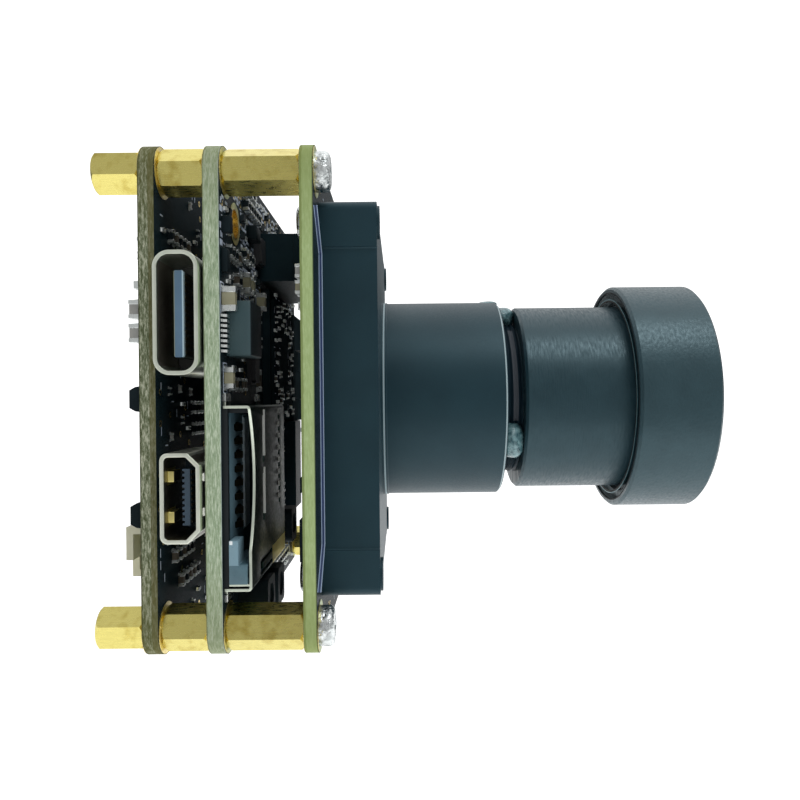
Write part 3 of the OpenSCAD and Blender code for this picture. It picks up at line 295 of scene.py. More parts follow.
@dataclass(frozen=True)
class Laminate(Finish):
    """Woven glass laminate with a dark solder mask: the mask on both faces, glass fibre in the edges.

    The faces are told from the edges by X: back_mm and front_mm are the board's faces. What
    stands proud of them is the gold plating round the holes. The fibres are 0.01 mm thick in a
    real board; their bundles are drawn here, fibre_mm thick, wide and long. Copper traces under
    the mask are the edges of cells trace_mm wide. The edge's colour turns to rim and back_rim
    near the faces, and to ends towards the board's top and bottom.
    """

    back_mm: float = 0.0
    front_mm: float = 0.0
    fibre: tuple[str, str, str] = ("#7d8468", "#9aa088", "#c3c8ae")
    rim: str = "#5f5f34"
    rim_share: float = 0.3
    back_rim: str = "#5f5f34"
    back_rim_share: float = 0.0
    contrast: float = 0.13
    ends: str = "#68663a"
    fibre_mm: Triple = (0.12, 0.5, 1.5)
    trace: str = "#24363c"
    trace_mm: float = 1.1
    gold: str = "#e4d28c"
    skin_mm: float = 0.012
    waver_mm: float = 0.06
    edge_share: float = 0.3
    ends_mm: tuple[float, float] = (11.0, 19.0)
    ends_share: float = 0.6
    relief_mm: float = 0.03

    def dress(self, tree: Tree, place: Socket, shader: Node) -> None:
        """Mixes fibre, mask and plating by X, and gives each its own gloss and relief."""
        xyz = add(tree, "SeparateXYZ", {0: place})
        x = xyz.outputs["X"]
        skin = self.skin_mm
        inside = band(tree, x, (self.back_mm + skin) * MM, (self.front_mm - skin) * MM)
        between = band(tree, x, (self.back_mm - skin) * MM, (self.front_mm + skin) * MM)

        bundles = stretched(tree, place, tuple(per(s) for s in self.fibre_mm))
        weave = add(tree, "TexNoise", {"Vector": bundles, "Scale": 1.0, "Detail": 5.0, "Roughness": 0.7})
        reach = self.contrast
        stops = ((0.5 - reach, self.fibre[0]), (0.5, self.fibre[1]), (0.5 + reach, self.fibre[2]))
        glass = ramp(tree, weave.outputs["Fac"], stops)
        thick = self.front_mm - self.back_mm
        start = (self.front_mm - self.rim_share * thick) * MM
        stop = (self.back_mm + self.back_rim_share * thick) * MM
        waver = self.waver_mm * MM
        level = calc(tree, "ADD", x, remap(tree, weave.outputs["Fac"], 0.0, 1.0, -waver, waver))
        front = remap(tree, level, start, start + 0.05 * MM)
        back = remap(tree, level, stop, stop - 0.04 * MM)
        edge = mix(tree, front, glass, mix(tree, self.edge_share, linear(self.rim), glass))
        edge = mix(tree, back, edge, mix(tree, self.edge_share, linear(self.back_rim), glass))
        height = calc(tree, "ABSOLUTE", xyz.outputs["Z"])
        start, stop = (at * MM for at in self.ends_mm)
        far = remap(tree, height, start, stop, 0.0, self.ends_share)
        edge = mix(tree, far, edge, linear(self.ends))

        scale = per(self.trace_mm)
        cells = add(tree, "TexVoronoi", {"Vector": place, "Scale": scale}, distance="MANHATTAN")
        lanes = calc(tree, "PINGPONG", cells.outputs["Distance"], 0.11)
        track = remap(tree, lanes, 0.05, 0.07)
        mask = mix(tree, track, linear(self.colour), linear(self.trace))

        face = mix(tree, between, linear(self.gold), mask)
        tree.links.new(mix(tree, inside, face, edge), shader.inputs["Base Color"])
        tree.links.new(calc(tree, "SUBTRACT", 1.0, between), shader.inputs["Metallic"])
        tree.links.new(remap(tree, between, 0.0, 1.0, 0.3, 0.42), shader.inputs["Roughness"])
        lift = add(tree, "Mix", {0: inside, 2: track, 3: weave.outputs["Fac"]}).outputs[0]
        emboss(tree, shader, lift, self.relief_mm)


@dataclass(frozen=True)
class Glass(Finish):
    """Clear glass, with the gleam of a thin coating in its reflections."""

    def dress(self, tree: Tree, place: Socket, shader: Node) -> None:
        """Lets light through, and leaves a trace of wiping in the gloss."""
        shader.inputs["Base Color"].default_value = linear(self.colour)
        shader.inputs["Transmission Weight"].default_value = 1.0
        wiped = remap(tree, self.grain(tree, place), 0.0, 1.0, 0.01, self.roughness)
        tree.links.new(wiped, shader.inputs["Roughness"])


class Black(Enum):
    """The black finishes of the optics: dyed aluminium, whose gleam keeps the dye's blue cast."""

    # Lens barrel and ring: turned, so fine rings catch the light.
    TURNED = Turned(
        "black anodised aluminium, turned", "#162d35", 0.4, ior=1.65, tint="#bfe0ea", spread=0.12,
        relief_mm=0.014, shade="#1d343c", mark_mm=0.16, mark_len_mm=0.9,
    )
    # Front ring: turned too, its dye a little greyer.
    RING = Turned(
        "grey black anodised aluminium, turned", "#1f343b", 0.38, ior=1.7, tint="#bfe0ea", spread=0.1,
        relief_mm=0.022, shade="#263c43", radius_mm=10.5, mark_mm=0.22, mark_len_mm=0.35,
    )
    # Holder: milled and bead blasted, an even satin. Its three pale bands are painted highlights: on the
    # flange's back edge, round the tube's foot and on the chamfer at the tube's mouth.
    MILLED = Finish(
        "black anodised aluminium, milled", "#112932", 0.46, ior=1.57, tint="#b8dce8", grain_mm=0.12,
        shade="#17313a", shade_mm=5.0, relief_mm=0.003,
        zones=(
            Zone("#8fa4aa", (("X", 20.68, 20.85), ("Y", -16.0, -15.2), ("Z", -11.5, 11.5))),
            Zone("#9fb3b8", (("X", 21.0, 21.14), ("Y", -9.6, 9.6), ("Z", -9.6, 9.6))),
            Zone("#a5b8bd", (("X", 31.5, 31.72), ("nx", 0.2, 0.95))),
        ),
    )
    # Inside the optics: dyed deep and left rough against stray light.
    MATT = Finish("black anodised aluminium, matt", "#0c1113", 0.75, grain_mm=0.1)


# Free-machining brass, drawn to a hexagon: yellow metal whose draw marks streak along the bar.
BRASS = Finish(
    "drawn brass", "#dcd07c", 0.3, metallic=1.0, stretch=(7.0, 1.0, 1.0), shade="#b29c40", shade_mm=0.9,
    shade_from=0.5,
)
# Zinc plated steel: bright and slightly blue; the cold-headed drive leaves pits and dark dents.
SCREW = Finish(
    "zinc plated steel", "#dfe4e4", 0.3, metallic=1.0, grain_mm=0.4, spread=0.14, relief_mm=0.14,
    shade="#5c6464", shade_mm=0.55, shade_from=0.45,
)
# Nickel plated strip steel, drawn into a shell: an even, warm pale metal. Its inside is painted a
# little darker, as painted shade.
SHELL = Finish(
    "nickel plated steel", "#eaf0e2", 0.34, metallic=1.0, grain_mm=0.4, spread=0.04, relief_mm=0.0006,
    shade="#dae1d0", zones=(Zone("#d2cdc0", (("X", 5.1, 7.9), ("Y", -19.6, -8.0), ("Z", 2.5, 10.0))),),
)
# The video receptacle's shell is the same, with gilt spring fingers near its mouth; its inside is painted
# darker, as painted shade.
VIDEO_SHELL = Finish(
    "nickel plated steel with gilt springs", "#eef2e4", 0.34, metallic=1.0, grain_mm=0.4, spread=0.04,
    relief_mm=0.0006, shade="#dde3d2", zones=(
        Zone("#8f8a7c", (("X", 5.4, 7.95), ("Y", -19.6, -8.0), ("Z", -10.1, -4.0))),
        Zone("#f0e294", (("X", 5.3, 5.98), ("Y", -18.9, -16.9), ("Z", -9.15, -7.9))),
        Zone("#f0e294", (("X", 5.3, 5.98), ("Y", -18.9, -16.9), ("Z", -6.2, -4.95))),
    ),
)
# Rolled stainless sheet, coloured dark as a painted reflection of the dark boards that it faces. Its edges
# that face the mouth are painted pale: the bare steel's own colour with a painted highlight. It is
# tarnished gold where the leaf over the ejector's lane ends.
COVER = Finish(
    "rolled stainless sheet", "#33473f", 0.42, metallic=1.0, grain_mm=0.25, shade="#293a35",
    shade_mm=3.0, zones=(
        Zone("#efe08a", (("X", 11.3, 11.7), ("Y", -10.2, -3.0), ("Z", -14.1, -12.3), ("nx", 0.5, 1.1))),
        Zone("#dde6d6", (("ny", -1.1, -0.5), ("Y", -19.0, -16.5))),
    ),
)
# Glass filled nylon, moulded: slate. Both edges of its tip are painted lighter as painted highlights, and
# behind the tip it is painted dark grey as the shade inside the shell.
TONGUE = Finish(
    "glass filled nylon, slate", "#5f7f9a", 0.42, grain_mm=0.08, relief_mm=0.003, shade="#56758f",
    shade_mm=1.5, zones=(
        Zone("#b4d0de", (("X", 6.74, 7.0), ("Y", -19.0, -18.6))),
        Zone("#8d9480", (("X", 6.0, 6.2), ("Y", -19.0, -18.6))),
        Zone("#35383a", (("Y", -18.5, -6.0),)),
    ),
)
# The same, darker and duller.
VIDEO_TONGUE = Finish(
    "glass filled nylon, dark slate", "#3d5264", 0.46, grain_mm=0.08, relief_mm=0.003, shade="#364a5a",
    shade_mm=1.5,
)
# Contact strip of phosphor bronze, painted grey brown as the shade of its shell.
CONTACT = Finish("phosphor bronze, painted shade", "#5f584a", 0.35, metallic=1.0, relief_mm=0.002)
GOLD = Finish("hard gold plate", "#e3c877", 0.28, metallic=1.0, relief_mm=0.002)
# Liquid crystal polymer, moulded: soot black at its front edge. Further in it is painted slate, and the
# bar behind the windows near white: painted light where the cover's shade falls.
CARD_PLASTIC = Finish(
    "liquid crystal polymer", "#587481", 0.5, ior=1.4, shade="#627f8c", zones=(
        Zone("#d6e8ef", (("X", 9.88, 10.2), ("Y", -13.75, -11.6), ("Z", -10.3, -1.2))),
        Zone("#131c20", (("Y", -19.0, -18.25),)),
    ),
)
# Acetal, moulded: slate with a waxy gleam. Its arm is painted a paler slate as painted light, and a white
# spot at its tip is a painted highlight.
SLIDER = Finish(
    "acetal, slate", "#56747f", 0.34, grain_mm=0.2, relief_mm=0.003, shade="#4d6975", shade_mm=1.2, zones=(
        Zone("#7f9eac", (("Z", -12.0, -9.0), ("X", 9.9, 10.7))),
        Zone("#f2fafc", (("Z", -10.5, -9.85), ("X", 10.04, 10.26), ("ny", -1.1, -0.3))),
    ),
)
WIRE = Finish("music wire", "#a9adb0", 0.3, metallic=1.0, relief_mm=0.002)
# Filled polymer of the connectors: black with a blue cast in its weak gleam.
SOCKET = Finish(
    "glass filled polymer, black", "#14242a", 0.52, ior=1.3, tint="#b0c8d0", grain_mm=0.15,
    relief_mm=0.005, shade="#1a2c32",
)
# Filled epoxy, transfer moulded: a fine matt grain.
CHIP = Finish(
    "moulded epoxy, black", "#11191c", 0.62, ior=1.3, tint="#b0c8d0", grain_mm=0.08, relief_mm=0.006,
    shade="#182226",
)
# Moulded epoxy, slate; its top, which faces the sensor board, is painted dark as painted shade.
SLATE_CHIP = Finish(
    "moulded epoxy, slate", "#3c5155", 0.55, ior=1.4, shade="#374e53", zones=(
        Zone("#182225", (("nx", 0.6, 1.1),)),
    ),
)
# The larger packages are duller: a coarse matt skin with hardly any gleam.
DULL_CHIP = Finish("moulded epoxy, dull", "#1e2c31", 0.85, ior=1.03, shade="#26363b")
# Molten tin that froze in small waves.
TIN = Finish("tin plate", "#dfe4e2", 0.32, metallic=1.0, grain_mm=0.3, relief_mm=0.012, spread=0.1)
# Fired titanate ceramic: the larger capacitors are tan or grey, the smallest parts brown.
TAN_CERAMIC = Finish("barium titanate ceramic, tan", "#9c9a80", 0.5, shade="#8a876d")
GREY_CERAMIC = Finish("barium titanate ceramic, grey", "#a3a39e", 0.5, shade="#8f8f8b")
BROWN_CERAMIC = Finish("barium titanate ceramic, brown", "#544d40", 0.5)
# Unfilled nylon: cream, and slightly waxy.
NYLON = Finish("natural nylon", "#e6e5cb", 0.5, grain_mm=0.2, relief_mm=0.006, shade="#d8d7ba")
# Closed-cell rubber: black, with pores of a tenth of a millimetre.
FOAM = Finish("microcellular rubber", "#101112", 0.85, grain_mm=0.12, relief_mm=0.03)
SENSOR = Finish("black ceramic package", "#26282b", 0.5)
# Epoxy glue that cured in the air: glossy, sea green over black, with bubbles.
GLUE = Finish(
    "cured epoxy glue", "#2f555d", 0.26, spread=0.1, grain_mm=0.22, relief_mm=0.09, shade="#83a9ae",
    shade_mm=0.5, shade_from=0.36, coat=0.35,
)
# Sheared edge of the thin sheet, bare and bright.
SHEARED = Finish("bare sheared steel", "#f4f6f0", 0.45, metallic=0.2, grain_mm=0.2, relief_mm=0.002)
# Screen print: thin, chalky and a little uneven.
INK = Finish("white screen print", "#cfd9e6", 0.6, grain_mm=0.2, relief_mm=0.003, shade="#a8b8cc")
BLUE_LINE = Finish("pale blue screen print", "#a9c0dc", 0.5, grain_mm=0.3, relief_mm=0.002)
BLUE_BAND = Finish(
    "violet blue solder mask", "#3c4c7c", 0.35, grain_mm=0.4, relief_mm=0.003, shade="#34456c",
)
# The coated glasses gleam green, the filter's bare glass blue.
COATED = Glass("coated optical glass", "#f2f7f6", 0.05, ior=1.6, tint="#9fd0c0", grain_mm=2.0)
CLEAR = Glass("filter glass", "#e8f2ee", 0.05, ior=1.52, tint="#c8d8f0", grain_mm=2.0)

FINISH_NODES: tuple[tuple[Finish, str], ...] = (
    (BRASS, "rear_standoffs middle_standoffs front_standoffs"),
    (SCREW, "board_screws holder_screws"),
    (Black.MILLED.value, "lens_holder"),
    (Black.TURNED.value, "lens_barrel"),
    (Black.RING.value, "front_ring"),
    (Black.MATT.value, "front_spacer middle_spacer rear_spacer rear_retainer"),
    (COATED, "front_glass second_glass third_glass rear_glass"),
    (CLEAR, "sensor_cover infrared_filter"),
    (SENSOR, "image_sensor crystals"),
    (FOAM, "foam_seal"),
    (SHELL, "usb_shell"),
    (TONGUE, "usb_tongue"),
    (VIDEO_SHELL, "video_shell"),
    (VIDEO_TONGUE, "video_tongue"),
    (CONTACT, "usb_contacts video_contacts card_contacts"),
    (CARD_PLASTIC, "card_base"),
    (COVER, "card_cover"),
    (SLIDER, "card_slider"),
    (WIRE, "card_cam_wire"),
    (SOCKET, "link_socket link_plug rear_link_socket rear_link_plug flat_cable_socket"),
    (DULL_CHIP, "processor memory_chip"),
    (SLATE_CHIP, "interface_chip"),
    (CHIP, "main_chips sensor_chips power_coils rear_diodes"),
    (TIN, "chip_leads wafer_pins"),
    (NYLON, "wafer_housing"),
)
NODE_FINISH = {name: finish for finish, names in FINISH_NODES for name in names.split()}


def paint(piece: Piece, finish: Finish) -> None:
    """Makes a finish the one material of a piece."""
    piece.data.materials.clear()
    piece.data.materials.append(finish.material())


def dress_nodes(nodes: Nodes) -> None:
    """Gives each CAD node that keeps its shape its finish."""
    for name, finish in NODE_FINISH.items():
        paint(nodes[name], finish)
    log.info("dressed %d nodes in their finishes", len(NODE_FINISH))


@dataclass
class Skin:
    """A mesh in the making: surfaces worked out as arrays in millimetres, each with a finish."""

    name: str
    finishes: Sequence[Finish]
    points: list[Array] = field(default_factory=list)
    faces: list[list[int]] = field(default_factory=list)
    slots: list[int] = field(default_factory=list)
    seams: list[tuple[int, int]] = field(default_factory=list)
    count: int = 0

    def take(self, points: Array, faces: Array, slots: Array | int) -> None:
        """Adds points and equal-sided faces over them.

        Args:
            points: Places, with x, y and z along the last axis.
            faces: Corner numbers along the last axis, counted from the first of these points.
            slots: Finish number of each face, or one for all.
        """
        points, faces = points.reshape(-1, 3), faces.reshape(-1, faces.shape[-1])
        self.points.append(points)
        self.faces.extend((faces + self.count).tolist())
        self.slots.extend(np.broadcast_to(slots, len(faces)).tolist())
        self.count += len(points)

    def sheet(self, grid: Array, slot: int = 0, flip: bool = False) -> None:
        """Adds a surface given as a grid of places (rows, columns, 3), in quads.

        Args:
            grid: The places; a quad joins each four neighbours.
            slot: Finish number.
            flip: True turns the faces to the other side.
        """
        rows, columns = grid.shape[:2]
        first = np.arange(rows * columns).reshape(rows, columns)
        quads = np.stack([first[:-1, :-1], first[:-1, 1:], first[1:, 1:], first[1:, :-1]], axis=-1)
        self.seams.append((self.count, self.count + rows * columns))
        self.take(grid, quads[..., ::-1] if flip else quads, slot)

    def stacks(self, points: Array, slots: Array | int) -> None:
        """Adds closed shells: rings of corners, each joined to the next, with the end rings filled.

        Args:
            points: Places as (n, rings, corners, 3).
            slots: Finish number of each shell, or one for all.
        """
        count, rings, corners = points.shape[:3]
        base = np.arange(count)[:, None] * rings * corners
        ring = np.arange(corners)
        after = (ring + 1) % corners
        strip = np.stack([ring, after, after + corners, ring + corners], axis=-1)
        sides = np.concatenate([strip + corners * k for k in range(rings - 1)])
        each = np.broadcast_to(slots, count)
        start = self.count
        self.take(points, base[:, :, None] + sides, np.repeat(each, len(sides)))
        for end in (ring[::-1], ring + (rings - 1) * corners):
            self.faces.extend((base + end + start).tolist())
        self.slots.extend(np.tile(each, 2).tolist())

    def prisms(self, loops: Array, sweep: Array, slots: Array | int = 0) -> None:
        """Adds closed prisms: each flat loop is carried along its sweep.

        A loop whose normal points against its sweep is reversed, so every face points outwards.

        Args:
            loops: Corner places as (n, k, 3).
            sweep: One vector per loop as (n, 3), or one for all.
            slots: Finish number of each prism, or one for all.
        """
        sweep = np.broadcast_to(sweep, (len(loops), 3))
        normal = np.cross(loops, np.roll(loops, -1, axis=1)).sum(axis=1)
        wrong = np.einsum("ij,ij->i", normal, sweep) < 0
        loops = np.where(wrong[:, None, None], loops[:, ::-1], loops)
        self.stacks(np.stack([loops, loops + sweep[:, None]], axis=1), slots)

    def blocks(self, middles: Array, halves: Any, radius: float, slots: Array | int = 0) -> None:
        """Adds rounded blocks: p = middle + sign(n) * (half - r) + r * n.

        n runs over a coarse globe of four by eight directions, so a block has 26 faces.

        Args:
            middles: Middle places as (n, 3).
            halves: Half sizes as (n, 3), or one for all.
            radius: Edge radius r; two thirds of the least half size at most.
            slots: Finish number of each block, or one for all.
        """
        halves = np.broadcast_to(halves, middles.shape)
        turn = np.radians(22.5 + 45.0 * np.arange(8))[None, :]
        rise = np.radians(-67.5 + 45.0 * np.arange(4))[:, None]
        flat = np.cos(rise)
        way = np.stack(np.broadcast_arrays(flat * np.cos(turn), flat * np.sin(turn), np.sin(rise)), -1)
        r = np.minimum(radius, halves.min(axis=1) / 1.5)[:, None, None, None]
        straight = halves[:, None, None] - r
        self.stacks(middles[:, None, None] + np.sign(way) * straight + r * way, slots)

    def build(self, smooth_deg: float = 40.0) -> Piece:
        """Makes the object: seams merged, edges below smooth_deg shaded smooth, riding on the module."""
        mesh = bpy.data.meshes.new(self.name)
        mesh.from_pydata((np.concatenate(self.points) * MM).tolist(), [], self.faces)
        for finish in self.finishes:
            mesh.materials.append(finish.material())
        mesh.polygons.foreach_set("material_index", self.slots)
        work = bmesh.new()
        work.from_mesh(mesh)
        corners = list(work.verts)
        for start, stop in self.seams:
            bmesh.ops.remove_doubles(work, verts=corners[start:stop], dist=SEAM)
        work.to_mesh(mesh)
        work.free()
        mesh.shade_smooth()
        mesh.set_sharp_from_angle(angle=math.radians(smooth_deg))
        made = hang(self.name, mesh)
        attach(made, BODY)
        log.info("%s: %d faces", self.name, len(mesh.polygons))
        return made


def rectangles(x: Any, y0: Any, y1: Any, z0: Any, z1: Any) -> Array:
    """Corner loops of rectangles that stand square to X, as (n, 4, 3)."""
    values = [np.atleast_1d(np.asarray(v, float)) for v in (x, y0, y1, z0, z1)]
    x, y0, y1, z0, z1 = np.broadcast_arrays(*values)
    corners = [np.stack([x, y, z], -1) for y, z in ((y0, z0), (y1, z0), (y1, z1), (y0, z1))]
    return np.stack(corners, axis=1)


def patches(x: float, low: Array, high: Array) -> Array:
    """Rectangles between lowest and highest (y, z), each given as (n, 2)."""
    return rectangles(x, low[:, 0], high[:, 0], low[:, 1], high[:, 1])


def discs(x: float, spots: Array, radius: float, sides: int = 10) -> Array:
    """Corner loops of regular polygons round spots (y, z), square to X, as (n, sides, 3)."""
    turn = 2 * np.pi * np.arange(sides) / sides
    rim = spots[:, None] + radius * np.stack([np.cos(turn), np.sin(turn)], -1)
    return np.concatenate([np.full_like(rim[..., :1], x), rim], axis=-1)


def circle(parts: int) -> Array:
    """Angles of one turn in equal parts, from 0 to the full turn, as (1, parts + 1)."""
    return np.linspace(0.0, 2 * np.pi, parts + 1)[None, :]


def turned(x: Any, r: Any, a: Array, y: float = 0.0, z: float = 0.0) -> Array:
    """Places at radius r and angle a round an axis along X through (y, z), as a grid."""
    return np.stack(np.broadcast_arrays(x, y + r * np.cos(a), z + r * np.sin(a)), -1)


def washer(
    x0: float, x1: float, outer: float, inner: float, parts: int, y: float = 0.0, z: float = 0.0
) -> Array:
    """A ring of rectangular section round an axis along X through (y, z), as a closed grid."""
    rows = np.array([(x0, outer), (x1, outer), (x1, inner), (x0, inner), (x0, outer)])
    return turned(rows[:, :1], rows[:, 1:], circle(parts), y, z)


def capped(grid: Array) -> Array:
    """A grid of rings, closed at both ends by a ring drawn together to one place."""
    ends = np.broadcast_to(grid.mean(axis=1, keepdims=True), grid.shape)
    return np.concatenate([ends[:1], grid, ends[-1:]])


def solid_boxes(node: Piece) -> Array:
    """Boxes of a CAD node's separate solids, in millimetres.

    Corners at one place are merged, and each takes the lowest number among the corners that its
    edges join it to, until nothing changes; each number left is one solid.

    Args:
        node: The node's object.

    Returns:
        Lowest and highest corners as (n, 2, 3).
    """
    mesh = node.data
    places = np.empty(len(mesh.vertices) * 3)
    mesh.vertices.foreach_get("co", places)
    places = places.reshape(-1, 3) / MM
    edges = np.empty(len(mesh.edges) * 2, int)
    mesh.edges.foreach_get("vertices", edges)
    _, same = np.unique(places.round(4), axis=0, return_inverse=True)
    ends = same.ravel()[edges.reshape(-1, 2)]
    label = np.arange(same.max() + 1)
    while True:
        least = label[ends].min(axis=1)
        new = label.copy()
        np.minimum.at(new, ends[:, 0], least)
        np.minimum.at(new, ends[:, 1], least)
        new = new[new]
        if (new == label).all():
            break
        label = new
    owner = label[same.ravel()]
    solids = [places[owner == k] for k in np.unique(owner)]
    return np.array([[solid.min(axis=0), solid.max(axis=0)] for solid in solids])


def node_box(name: str) -> Array:
    """A node's lowest and highest corners in millimetres, as (2, 3)."""
    return np.array([list(corner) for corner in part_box(name)]) / MM


@dataclass
class Softened:
    """A copy of a CAD piece whose sharp edges are rounded, as rolled or moulded edges are."""

    node: str
    radius: float
    slot: str
    body: str = BODY
    rounds: int = 3
    sharp_deg: float = 30.0
    smooth_deg: float = 50.0
    flat_deg: float = 1.0

    def build(self, nodes: Nodes, finish: Finish) -> None:
        """Makes the copy and sets it in the node's place."""
        source = nodes[self.node]
        mesh = source.data.copy()
        mesh.transform(source.matrix_world)
        mesh.name = self.node + ".softened"
        work = bmesh.new()
        work.from_mesh(mesh)
        bmesh.ops.remove_doubles(work, verts=work.verts, dist=SEAM / 2)
        flat = math.radians(self.flat_deg)
        bmesh.ops.dissolve_limit(work, angle_limit=flat, verts=work.verts, edges=work.edges)
        limit = math.radians(self.sharp_deg)
        sharp = [e for e in work.edges if e.is_manifold and e.calc_face_angle(0.0) > limit]
        bmesh.ops.bevel(
            work, geom=sharp, offset=self.radius * MM, segments=self.rounds, profile=0.5, affect="EDGES",
            clamp_overlap=True,
        )
        bmesh.ops.triangulate(work, faces=[f for f in work.faces if len(f.verts) > 4])
        work.to_mesh(mesh)
        work.free()
        mesh.shade_smooth()
        mesh.set_sharp_from_angle(angle=math.radians(self.smooth_deg))
        piece = hang(mesh.name, mesh)
        paint(piece, finish)
        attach(piece, self.body)
        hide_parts(self.node)
        log.info("%s: %d faces", mesh.name, len(mesh.polygons))


SOFT = (
    Softened("usb_shell", 0.1, "shell_steel"),
    Softened("video_shell", 0.1, "shell_steel"),
    Softened("card_cover", 0.05, "card_steel", rounds=2),
    Softened("card_slider", 0.08, "slider_plastic", "ejector", rounds=2),
    Softened("interface_chip", 0.12, "chip_grey", rounds=2),
    Softened("main_chips", 0.08, "chip_black", rounds=2),
)


@dataclass
class ChipParts:
    """Chip resistors and capacitors: a ceramic body between two tinned caps, soldered down.

    face is X of the board's face, and way is 1 for a front face and -1 for a rear face. The body
    is a little lower, narrower and shorter than its caps, by body_rise, side_in and end_in.
    """

    face: float
    way: float
    body_rise: float = 0.93
    body_drop: float = 0.02
    side_in: float = 0.03
    end_in: float = 0.05
    body_r: float = 0.05
    cap_share: float = 0.25
    cap_r: float = 0.06
    fillet: float = 0.16
    fillet_rise: float = 0.55
    solder_share: float = 0.9
    pad_share: float = 0.95
    pad_reach: float = 0.7
    pad_lift: float = 0.03
    ink_gap: float = 0.2
    ink_width: float = 0.1
    ink_lift: float = 0.015
    limit: float = 18.95
    framed: bool = True

    def fill(self, skin: Skin, boxes: Array, kinds: Array, ink_slot: int | None = None) -> None:
        """Adds the parts in boxes to a skin whose first finish is tin.

        A fillet's section runs close to (w (1 - t)^2, h t^2) for t from 0 to 1, which sags like
        molten tin; w is fillet, and h is fillet_rise of the part's height.

        Args:
            skin: The mesh in the making.
            boxes: Lowest and highest corners as (n, 2, 3).
            kinds: Finish number of each body.
            ink_slot: Finish number of the printed frame round each part, if it has one.
        """
        middles, halves = boxes.mean(axis=1), (boxes[:, 1] - boxes[:, 0]) / 2
        lies = (halves[:, 1] > halves[:, 2])[:, None]
        along = np.where(lies, (0.0, 1.0, 0.0), (0.0, 0.0, 1.0))
        across = np.where(lies, (0.0, 0.0, 1.0), (0.0, 1.0, 0.0))
        reach = (halves * along).sum(axis=1, keepdims=True)
        width = (halves * across).sum(axis=1, keepdims=True)
        up = np.array((self.way, 0.0, 0.0))
        inner = halves * (self.body_rise, 1, 1) - across * self.side_in - along * self.end_in
        skin.blocks(middles - up * self.body_drop, inner, self.body_r, kinds)
        cap = reach * self.cap_share
        outer = halves * across + along * cap + halves * (1, 0, 0)
        height = halves[:, :1] * 2 * self.fillet_rise
        sag = np.array([(1.0, 0.0), (0.45, 0.1), (0.12, 0.42), (0.0, 1.0), (-0.3, 1.0), (-0.3, 0.0)])
        foot = middles.copy()
        foot[:, 0] = self.face
        for side in (-1.0, 1.0):
            skin.blocks(middles + side * along * (reach - cap), outer, self.cap_r)
            corner = (foot + side * along * reach - across * width * self.solder_share)[:, None]
            out = sag[None, :, :1] * self.fillet * side * along[:, None]
            loops = corner + out + sag[None, :, 1:] * height[:, None] * up
            loops[..., 1:] = np.clip(loops[..., 1:], -self.limit, self.limit)
            skin.prisms(loops, across * width * 2 * self.solder_share)
            pad = foot + side * along * (reach - cap / 2)
            grow = along * (cap / 2 + self.fillet * self.pad_reach) + across * width * self.pad_share
            low, high = (np.clip(edge, -self.limit, self.limit)[:, 1:] for edge in (pad - grow, pad + grow))
            skin.prisms(patches(self.face, low, high), up * self.pad_lift)
        if ink_slot is not None:
            grow = halves + self.ink_gap + along * self.fillet
            self.frames(skin, foot, np.minimum(grow, self.limit - np.abs(foot)), ink_slot)

    def frames(self, skin: Skin, middles: Array, grow: Array, slot: int) -> None:
        """Adds a printed frame round each part: four bars on the board's face."""
        w = self.ink_width
        (_, y0, z0), (_, y1, z1) = (middles - grow).T, (middles + grow).T
        flat = ((y0, y1, z0, z0 + w), (y0, y1, z1 - w, z1))
        upright = ((y0, y0 + w, z0 + w, z1 - w), (y1 - w, y1, z0 + w, z1 - w))
        for edges in flat + upright:
            skin.prisms(rectangles(self.face, *edges), np.array((self.way * self.ink_lift, 0, 0)), slot)

    def build(self, nodes: Nodes, node: str, bodies: Sequence[Finish], slot: str = "ceramic") -> None:
        """Replaces a node of chip parts with the dressed ones.

        Args:
            nodes: The CAD nodes.
            node: The node that is replaced.
            bodies: Finishes that the bodies take, drawn with a fixed seed.
            slot: The name of a material slot; not used.
        """
        boxes = solid_boxes(nodes[node])
        skin = Skin(node + ".dressed", [TIN, *bodies, INK])
        kinds = np.random.default_rng(len(boxes)).integers(1, len(bodies) + 1, len(boxes))
        self.fill(skin, boxes, kinds, len(bodies) + 1 if self.framed else None)
        piece = skin.build()
        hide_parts(node)


